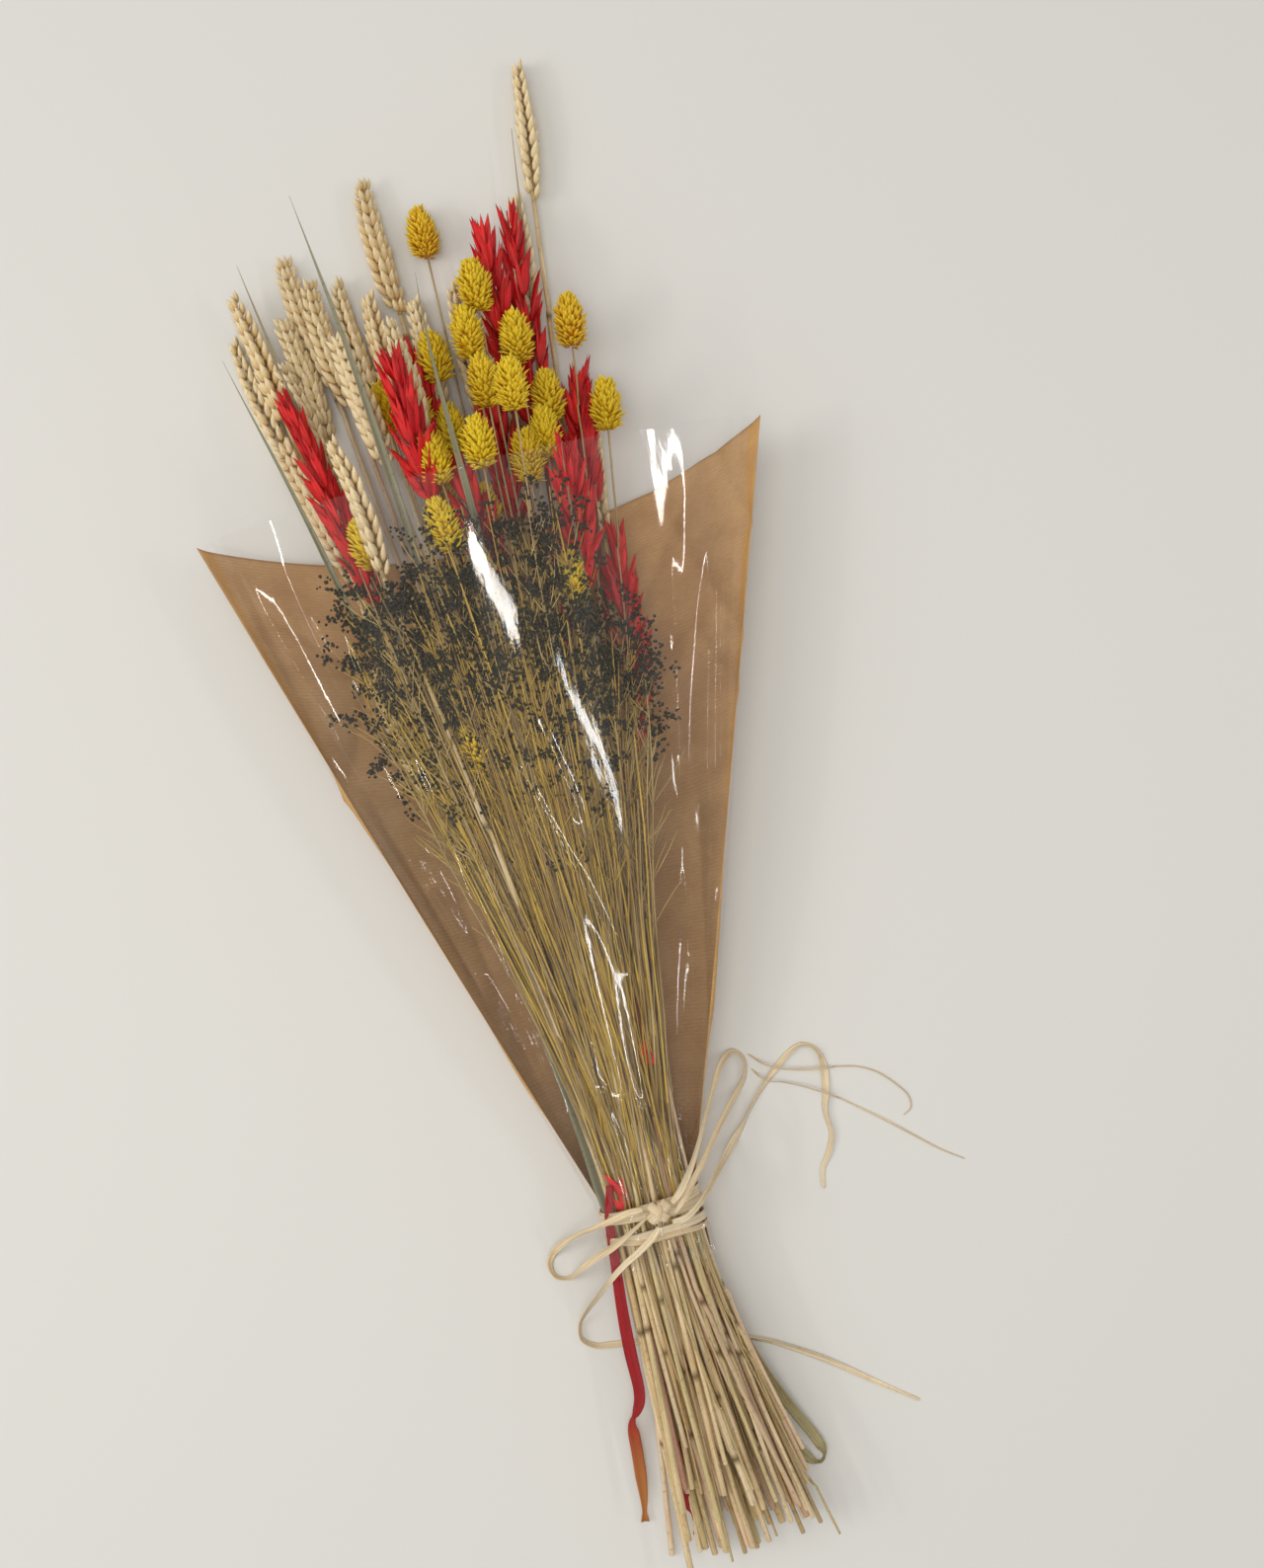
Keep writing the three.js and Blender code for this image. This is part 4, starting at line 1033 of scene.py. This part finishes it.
loose_heads = {
    "wheat_loose_01": ("wheat", -9.3, 0.500), "wheat_loose_02": ("wheat", -6.4, 0.474),
    "wheat_loose_03": ("wheat", -12.6, 0.440), "wheat_loose_04": ("wheat", 3.4, 0.478),
    "canary_loose_01": ("canary", 3.9, 0.431), "canary_loose_02": ("canary", 1.0, 0.407),
    "canary_loose_03": ("canary", -2.6, 0.406), "canary_loose_04": ("canary", -3.3, 0.372),
    "canary_loose_05": ("canary", 6.2, 0.336), "canary_loose_06": ("canary", 0.4, 0.281),
    "canary_loose_07": ("canary", -6.9, 0.266), "canary_loose_08": ("canary", -8.5, 0.168),
    "oat_loose_01": ("oat", -3.3, 0.455), "oat_loose_02": ("oat", 7.0, 0.397),
    "oat_loose_03": ("oat", 2.0, 0.44), "oat_loose_04": ("oat", -1.0, 0.40),
    "oat_loose_05": ("oat", 4.0, 0.36),
}
lengths = {"wheat": 0.074, "canary": 0.028, "oat": 0.085}
head_radii = {"wheat": 0.0062, "canary": 0.0075, "oat": 0.008}
loose_slots = {"wheat": "wheat_straw", "canary": "canary_grass", "oat": "red_oat"}
head_finishes = {"wheat": [straw_finish, wheat_finish], "canary": [thin_finish, canary_finish],
                 "oat": [dyed_finish, oat_finish]}
for name, (kind, angle, reach) in loose_heads.items():
    tip_y, tip_x = reach * math.cos(math.radians(angle)), reach * math.sin(math.radians(angle))
    radius = 0.0006 if kind == "canary" else 0.0013
    course = loose_course(-rng.uniform(0.13, 0.185), tip_y, tip_x, radius,
                          swell=(lengths[kind], head_radii[kind]),
                          front=0.05 if kind == "canary" else -0.06)
    base_y = course[-1, 1] - lengths[kind]
    base = np.array([np.interp(base_y, course[:, 1], course[:, k]) for k in range(3)])
    stalk = course[course[:, 1] < base_y]
    stalk = np.concatenate([stalk, [[*base, radius]]])
    length = np.linalg.norm(course[-1, :3] - base)
    tone = rng.uniform(0.2, 0.9)
    if kind == "canary":
        head = canary_head(length, 0.0078, tone)
    else:
        head = {"wheat": wheat_ear, "oat": oat_panicle}[kind](length, tone)
    shape = joined([straw(stalk, rng.random(), sides=6),
                    set_on(head, base, course[-1, :3], rng.uniform(0, 6))])
    piece_of(name, shape, head_finishes[kind], loose_slots[kind])

loose_parts = []
for k in range(50):
    foot = -rng.uniform(0.100, 0.186)
    tip = rng.uniform(0.06, 0.33)
    stalk = straw(loose_course(foot, tip, None, rng.uniform(0.0011, 0.0020)), rng.random(), sides=7)
    loose_parts.append({**stalk, "points": lifted(stalk["points"])})
piece_of("loose_stalks", joined(loose_parts), [straw_finish], "wheat_straw")

# Blades of grass that stand loose among the heads, and bits of red husk and leaf caught lower down
loose_blades = {   # angle and reach of the tip, width, where the blade leaves the bunch, and its tone
    "blade_loose_01": (-5.6, 0.555, 0.0046, 0.33, 0.1), "blade_loose_02": (-12.8, 0.500, 0.0030, 0.30, 0.2),
    "blade_loose_03": (-0.6, 0.500, 0.0036, 0.33, 0.5), "blade_loose_04": (7.0, 0.405, 0.0050, 0.20, 0.3),
    "blade_loose_05": (-5.2, 0.400, 0.0042, 0.20, 1.0), "blade_loose_06": (1.8, 0.300, 0.0040, 0.12, 1.0),
}
for name, (angle, reach, width, leaves_at, tone) in loose_blades.items():
    reach = reach * 0.95
    tip_y, tip_x = reach * math.cos(math.radians(angle)), reach * math.sin(math.radians(angle))
    course = loose_course(0.02, tip_y, tip_x, 0.0012, front=0.04)
    t = np.linspace(0, 1, 36)
    y = np.linspace(leaves_at + tie[1], course[-1, 1], len(t))
    path = on_course(course, y, 0)
    path[:, 0] += 0.003 * t ** 2 * np.sin(4 * t + tone * 5)
    wide = width * np.minimum(1, 4 * t + 0.4) * np.clip(1.5 * (1 - t), 0.03, 1)
    shape = blade(path, wide, 0.30 + 0.2 * np.sin(5 * t), 0.35 * np.sin(3 * t + tone * 6),
                  columns(tone, 0.6 * t, 0))
    piece_of(name, shape, [leaf_finish], "dry_leaf")

scrap_way = [(-0.0135, -0.120, 0.016), (-0.0160, -0.138, 0.0135), (-0.0172, -0.150, 0.0120),
             (-0.0150, -0.160, 0.0105), (-0.0160, -0.171, 0.0080)]
t = np.linspace(0, 1, 30)
width = np.interp(t, [0, 0.3, 0.6, 0.7, 1], [2, 6, 7, 4, 5]) / 1000
scrap = blade(curve_through(scrap_way, len(t)) + tie, width, 0.5 * np.cos(7 * t), 0.5 * np.sin(6 * t),
              [0.4, 0.2, 0])
x, y, below = np.transpose([(0.0135, 0.080, 0.0035), (0.0160, 0.074, 0.0035), (-0.0120, 0.013, 0.0016),
                            (-0.0135, 0.005, 0.0016)])
places = columns(x, y, under_film(x, y, below)) + tie
husks = copies(glume, np.repeat(places, 3, axis=0), stood(
    np.tile([(-0.5, 1, 0.02), (0.1, 1, 0.0), (0.5, 0.8, -0.02)], (4, 1)), np.tile([1.0, 0, 0], (12, 1)),
    rng.uniform(0.010, 0.017, 12), np.full(12, 0.0022), np.full(12, 0.0016)), np.tile([0.5, 0, 0], (12, 1)))
piece_of("red_scraps", joined([scrap, husks]), [red_leaf_finish, oat_finish], "red_leaf")

# ---------------------------------------------------------------- tie
# One strand of raffia goes twice round the neck, over the film and under the paper, and is knotted in
# front. Raffia is a split palm leaf: a pale, flat ribbon with fine fibres along it.

raffia_finish = dried_material(
    "raffia", [(0.88, 0.69, 0.43), (0.95, 0.79, 0.54), (0.82, 0.61, 0.35)], (0.45, 0.30, 0.14),
    streak=(0.00035, 0.00035, 0.03), spread=0.22, roughness=0.5, relief=0.0003, fleck=0.1)


def neck_outline(y, count):
    """The outline of the neck at y, from its left edge under the paper to the right and back over the
    film, as x and z at even distances, with unit normals pointing out."""
    across_paper = np.linspace(-1, 1, 61)[1:-1]
    under = paper_surface(across_paper, y, 0)[:, [0, 2]]
    angle = np.radians(np.linspace(90, -90, 81))
    over_x = sleeve_section(y).half * np.sin(angle)
    over = columns(over_x, film_height(over_x, y) + film_thickness)
    outline = np.concatenate([under, over, under[:1]])
    run = np.concatenate([[0], np.cumsum(np.linalg.norm(np.diff(outline, axis=0), axis=1))])
    even = np.linspace(0, run[-1], count + 1)[:-1]
    line = columns(*(np.interp(even, run, axis) for axis in outline.T))
    line = (np.roll(line, 1, 0) + 2 * line + np.roll(line, -1, 0)) / 4
    ahead = np.roll(line, -1, 0) - np.roll(line, 1, 0)
    return line, unit(columns(ahead[:, 1], -ahead[:, 0]))


def endless(points, section, step, tone):
    """A ribbon that closes on itself: rings of points, each the given section, a step apart."""
    rings, size = points.shape[:2]
    run = np.arange(rings)[:, None] * step
    return {
        "points": points.reshape(-1, 3), "tris": np.zeros((0, 3), int),
        "quads": grid_quads(rings + 1, size, wrapped=True) % (rings * size),
        "grain": columns(section[:, 0], section[:, 1], run).reshape(-1, 3),
        "tone": np.tile([tone, 0.5, 0.0], (rings * size, 1)), "skin": np.zeros(rings * size, int),
    }


def strip_section(width, profile, thickness):
    """The section of a ribbon: a curve over its width, and back along the same curve at a thickness."""
    across_band = np.linspace(-0.5, 0.5, len(profile)) * width
    return np.concatenate([columns(across_band, profile),
                           columns(across_band[::-1], profile[::-1] + thickness)])


def band(y, width, stand_off, slant, tone, seed):
    """A ribbon round the neck: its section, a thin strip with a few ridges, stands off the outline and
    shifts along the neck by slant·x, so that the turns cross at a small angle."""
    count = 150
    line, out = neck_outline(y, count)
    draw = np.random.default_rng(seed)
    ridges = 0.0001 * np.sin(np.linspace(-11, 11, 9) + draw.uniform(0, 6))
    section = strip_section(width, ridges, 0.0004)
    angle = np.arange(count) * 2 * math.pi / count
    wave = 0.0004 * np.sin(angle * draw.integers(2, 5) + draw.uniform(0, 6))
    depth = stand_off + section[:, 1]
    points = columns(line[:, :1] + out[:, :1] * depth,
                     y + section[:, 0] + slant * line[:, :1] + wave[:, None],
                     line[:, 1:] + out[:, 1:] * depth)
    shape = endless(points, section, 0.0009, tone)
    return {**shape, "quads": shape["quads"][:, ::-1]}


turns = {
    "raffia_turn_upper": [(0.0038, 0.0062, 0.0004, 0.06, 0.7), (0.0010, 0.0044, 0.0009, -0.04, 0.2)],
    "raffia_turn_lower": [(-0.0086, 0.0044, 0.0004, 0.05, 0.5), (-0.0110, 0.0026, 0.0008, -0.03, 0.9)],
}
for k, (name, ribbons) in enumerate(turns.items()):
    shape = joined([band(*ribbon, seed=k * 10 + n) for n, ribbon in enumerate(ribbons)])
    shape["points"] = shape["points"] + tie
    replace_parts(piece_of(name.replace("raffia", "tie"), shape, [raffia_finish], "raffia"), name)


def wrap(centre, half, tilt, width, tone):
    """A flat loop round an egg of the given half sizes, in a plane turned by tilt about Z: the strand that
    makes one pass of the knot."""
    count = 48
    angle = np.arange(count) * 2 * math.pi / count
    ring = columns(np.cos(angle) * half[0], 0, np.sin(angle) * half[1])
    out = unit(columns(np.cos(angle) / half[0], 0, np.sin(angle) / half[1]))
    section = strip_section(width, (1 - np.linspace(-1, 1, 7) ** 2) * 0.0006, -0.0005)
    points = ring[:, None] + out[:, None] * section[:, 1:] + np.array([0, 1.0, 0]) * section[:, :1]
    cos, sin = math.cos(tilt), math.sin(tilt)
    points = points @ np.array([[cos, sin, 0], [-sin, cos, 0], [0, 0, 1]]) + centre
    return endless(points, section, 0.0006, tone)


knot_middle = np.array([(knot_low[k] + knot_high[k]) / 2 for k in range(3)])
knot_core = husk([(0.04, 0.5), (0.2, 0.85), (0.5, 1.0), (0.8, 0.85), (0.96, 0.5)],
                 sides=12, flat=0.62, skin=0)
knot_core["points"] = (knot_core["points"] * [0.0044, 0.0044, 0.0100] - [0, 0, 0.0050])[:, [2, 0, 1]]
knot_core["points"] = knot_core["points"] + knot_middle - [0, 0, 0.0004]
shape = joined([
    knot_core,
    wrap(knot_middle, (0.0064, 0.0026), 0.60, 0.0058, 0.7),
    wrap(knot_middle, (0.0056, 0.0031), -0.90, 0.0048, 0.2),
    wrap(knot_middle + [0.0006, 0, 0], (0.0046, 0.0034), 1.35, 0.0030, 0.9),
])
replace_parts(piece_of("tie_knot", shape, [raffia_finish], "raffia"), "raffia_knot")

# ---------------------------------------------------------------- bow
# The strand's own ends make the bow: two loops, two tails that come down from the neck and lie on the
# table, and two fibres that have split from the loop on the right. They leave the knot and go limp.

ribbon_width = 0.0040
fibre_width = 0.0014                         # of the loose fibres with their fuzz
bare_fibre = 0.0011
bow_routes = {
    "raffia_loop_left": [
        (-3.6, 6, 43), (-12, 5.5, 43.5), (-21, 3, 40), (-30, -0.5, 31), (-39, -4, 20), (-48, -8.5, 10),
        (-55, -13.5, 4), (-59, -20, 2.4), (-57, -27, 2.3), (-50, -28.5, 4), (-42, -23, 12.5),
        (-33, -16.5, 24), (-24, -11, 35.5), (-14, -5, 41.8), (-3.6, 0.8, 43)],
    "raffia_loop_right": [
        (11.5, 5.8, 43), (17, 11, 44), (24, 20, 42), (31, 31, 37.5), (38, 43, 32), (45, 54, 21),
        (52, 63, 9.5), (59, 66.5, 3), (64, 61, 2.2), (62, 52, 2.2), (55.5, 45, 5), (48, 38, 14),
        (40, 30, 25.5), (32, 21, 34), (23, 11.5, 39.5), (16, 4.5, 42.5), (11.6, 0.6, 43)],
    "raffia_tail_upper": [
        (9.5, -3.4, 43), (17, -3, 42), (25, 1, 36), (33, 7, 25), (41, 14, 13), (48, 20.5, 4.8),
        (54, 26.5, 2.2), (60, 34, 2.1), (68, 43, 2.1), (77, 51, 2.1), (87, 58.5, 2.1), (95, 61.5, 2.1),
        (101.5, 57, 2.1), (103.5, 48, 2.1), (102, 36, 2.1), (99, 25, 2.1), (99.5, 13, 2.1),
        (96, 4, 2.1), (91, -4, 2.1), (89, -14, 2.1)],
    "raffia_tail_lower": [
        (2.5, -4.8, 43), (-3, -10, 42.5), (-10.5, -15, 41.5), (-19, -20.5, 36.5), (-28, -28, 29),
        (-37, -37.5, 17.5), (-45.5, -46.5, 7), (-51, -54, 2.6), (-51.5, -61.5, 2.1),
        (-45.5, -66.5, 2.1), (-37, -68, 2.1), (-27, -69.5, 2.1), (-14, -71.5, 2.1), (0, -73.5, 2.1),
        (14, -75.5, 2.1), (28, -78.5, 2.1), (42, -84, 2.1), (55, -91.5, 2.1), (68, -100, 2.1),
        (82, -110.5, 2.1), (97, -122, 2.1), (112, -133, 2.1)],
    "raffia_thread_long": [
        (66.6, 55, 1.2), (70, 50.6, 4.5), (73.5, 47.8, 5.3), (80, 45.5, 3.5), (90, 41, 3.8),
        (101.5, 34.4, 5.3), (109, 28.8, 2.5), (118, 21.5, 1), (128, 13.5, 1), (140, 3, 1),
        (152, -7.5, 1), (164, -16, 1)],
    "raffia_thread_curled": [
        (66.6, 63, 1.2), (73, 57, 4.2), (80, 53.2, 5.3), (86, 51, 4.2), (94, 49, 4.6), (103, 47.6, 5.3),
        (111, 46, 2.4), (121, 43.5, 1), (130, 38.5, 1), (137.5, 31, 1), (143, 23, 1), (143, 16.5, 1),
        (138.5, 13.5, 1)],
}
bow_facts = {   # width, far end and how often the ribbon turns over
    "raffia_loop_left": (ribbon_width, "object", 1.2),
    "raffia_loop_right": (ribbon_width, "object", 1.6),
    "raffia_tail_upper": (ribbon_width, "bare", 2.2),
    "raffia_tail_lower": (ribbon_width, "bare", 1.4),
    "raffia_thread_long": (fibre_width, "bare", 0.5),
    "raffia_thread_curled": (fibre_width, "bare", 0.5),
}


def on_table(points, sides):
    """Rings of a strand moved up so that none is under the table, and down where they lie on it: each
    ring's move is blended with its neighbours', (a + 2b + c) / 4, and the poles move with the ends."""
    rings = points[:-2].reshape(-1, sides, 3)
    low = rings[..., 2].min(axis=1)
    middle = rings[..., 2].mean(axis=1)
    move = np.where(middle < 0.0034, 0.0003 - low, np.maximum(0.0003 - low, 0))
    move = np.maximum(softened(move, 6), 0.0001 - low)
    moved = rings + np.array([0, 0, 1.0]) * move[:, None, None]
    poles = points[-2:] + np.array([0, 0, 1.0]) * move[[0, -1]][:, None]
    return np.concatenate([moved.reshape(-1, 3), poles]), moved.mean(axis=1)


def ribbon(path, width, turns_over, tone):
    """A strand of raffia: a thin strip, cupped by a third of its half width, carried along a path. It rolls
    slowly about the path, narrows and widens a little as it goes, and is narrower at both ends."""
    count = len(path)
    t = np.linspace(0, 1, count)
    across_strip = np.linspace(-1, 1, 9)
    draw = np.random.default_rng(int(tone * 1000))
    phase = draw.uniform(0, 6)
    wide = (width / 2 * (0.88 + 0.12 * np.sin(t * 17 + phase))
            * np.interp(t, [0, 0.04, 0.90, 1], [0.6, 1, 1, 0.45]))
    cup = 0.30 + 0.25 * np.sin(t * 9 + phase)
    ridge = 0.00006 * np.sin(across_strip * 14 + phase)
    under = columns(wide[:, None] * across_strip, (wide * cup)[:, None] * across_strip ** 2 + ridge)
    over = under[:, ::-1] + np.array([0, 0.00030 if width > 0.002 else 0.00016])
    roll = (1.25 * np.sin(turns_over * 2 * math.pi * t + phase)
            * np.sin(math.pi * np.clip(t, 0.02, 0.98)) ** 0.5)
    section_strip = np.concatenate([under, over], axis=1)
    section_strip[..., 1] -= section_strip[..., 1].mean(axis=1, keepdims=True)
    return carried(path, section_strip, *axes_along(path, roll), columns(tone, t, 0))


for k, (name, route) in enumerate(bow_routes.items()):
    width, far_end, turns_over = bow_facts[name]
    path = curve_through(np.array(route) / 1000 + tie, 30 + 8 * len(route))
    shape = ribbon(path, bare_fibre if width == fibre_width else width, turns_over, 0.15 + 0.13 * k)
    shape["points"], path = on_table(shape["points"], 18)
    made = piece_of(name.replace("raffia", "bow"), shape, [raffia_finish], "raffia")
    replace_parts(made, name)

# ---------------------------------------------------------------- table, lights and camera
# A plain pale table under soft light: a broad window on the left, a bright lamp overhead that draws
# long glints on the film, and a camera that looks straight down.

floor_mesh = bpy.data.meshes.new("table")
table_reach = 4.0
corners = [(-table_reach, -table_reach, 0), (table_reach, -table_reach, 0),
           (table_reach, table_reach, 0), (-table_reach, table_reach, 0)]
floor_mesh.from_pydata(corners, [], [(0, 1, 2, 3)])
table = bpy.data.objects.new("table", floor_mesh)
bpy.context.scene.collection.objects.link(table)
floor_mesh.materials.append(new_material(
    "table_top", Base_Color=(0.74, 0.725, 0.685, 1), Roughness=0.55)[0])

world = bpy.data.worlds.new("room")
bpy.context.scene.world = world
world.use_nodes = True
world.node_tree.nodes["Background"].inputs["Color"].default_value = (1.0, 0.99, 0.97, 1)
world.node_tree.nodes["Background"].inputs["Strength"].default_value = 0.45

upright, film_side, table_side = (0, 1, 0.001), (0.43, -0.37, 0), (0, 1, 0)
middle, heads = (0, 0, 0), (0, 0.1, 0)
lamps = {   # place, what it faces, its two sides, power, colour and the way its second side runs
    "window": ((-1.9, 0.5, 1.7), middle, (1.6, 1.2), 17, (1.0, 0.99, 0.97), upright),
    "ceiling_panel": ((-0.25, 0.1, 2.5), middle, (1.5, 1.5), 17, (1.0, 0.985, 0.96), upright),
    "ceiling_lamp": ((-0.14, -0.34, 2.1), middle, (0.085, 0.30), 1.5, (1.0, 0.98, 0.95), film_side),
    "far_lamp": ((0.10, -0.90, 2.1), middle, (0.035, 0.34), 0.6, (0.93, 0.97, 1.0), film_side),
    "near_lamp": ((0.42, -0.62, 2.1), middle, (0.045, 0.30), 0.6, (0.93, 0.97, 1.0), film_side),
    "left_lamp": ((-1.3, 0.05, 1.0), heads, (0.05, 0.60), 1.9, (1.0, 0.98, 0.95), table_side),
    "right_lamp": ((1.3, -0.20, 1.3), heads, (0.05, 0.60), 1.9, (1.0, 0.98, 0.95), table_side),
}
for name, (place, target, sides, power, colour, along) in lamps.items():
    data = bpy.data.lights.new(name, "AREA")
    data.shape = "RECTANGLE"
    data.size, data.size_y = sides
    data.energy = power
    data.color = colour
    made = bpy.data.objects.new(name, data)
    made.location = place
    # A light shines down its own z axis: z points away from the target, and x and y cross it
    away = unit(np.array(place, float) - np.array(target, float))
    side = unit(np.cross(along, away))
    axes = columns(side, np.cross(away, side), away)
    made.rotation_euler = mathutils.Matrix(axes.tolist()).to_euler()
    made.visible_glossy = name not in ("window", "ceiling_panel")      # too broad for the film's glints
    bpy.context.scene.collection.objects.link(made)

view_angle = 44.5                            # in degrees, along the frame's long side
eye_height = 1.0
eye_turn = -13.3                             # in degrees, so that the bunch leans to the left
camera = bpy.data.cameras.new("camera")
camera.lens = camera.sensor_width / 2 / math.tan(math.radians(view_angle / 2))
eye = bpy.data.objects.new("camera", camera)
eye.location = (0.0402, tie[1] + 0.214, eye_height)
eye.rotation_euler = (0, 0, math.radians(eye_turn))
bpy.context.scene.collection.objects.link(eye)
bpy.context.scene.camera = eye
bpy.context.scene.view_settings.view_transform = "Standard"
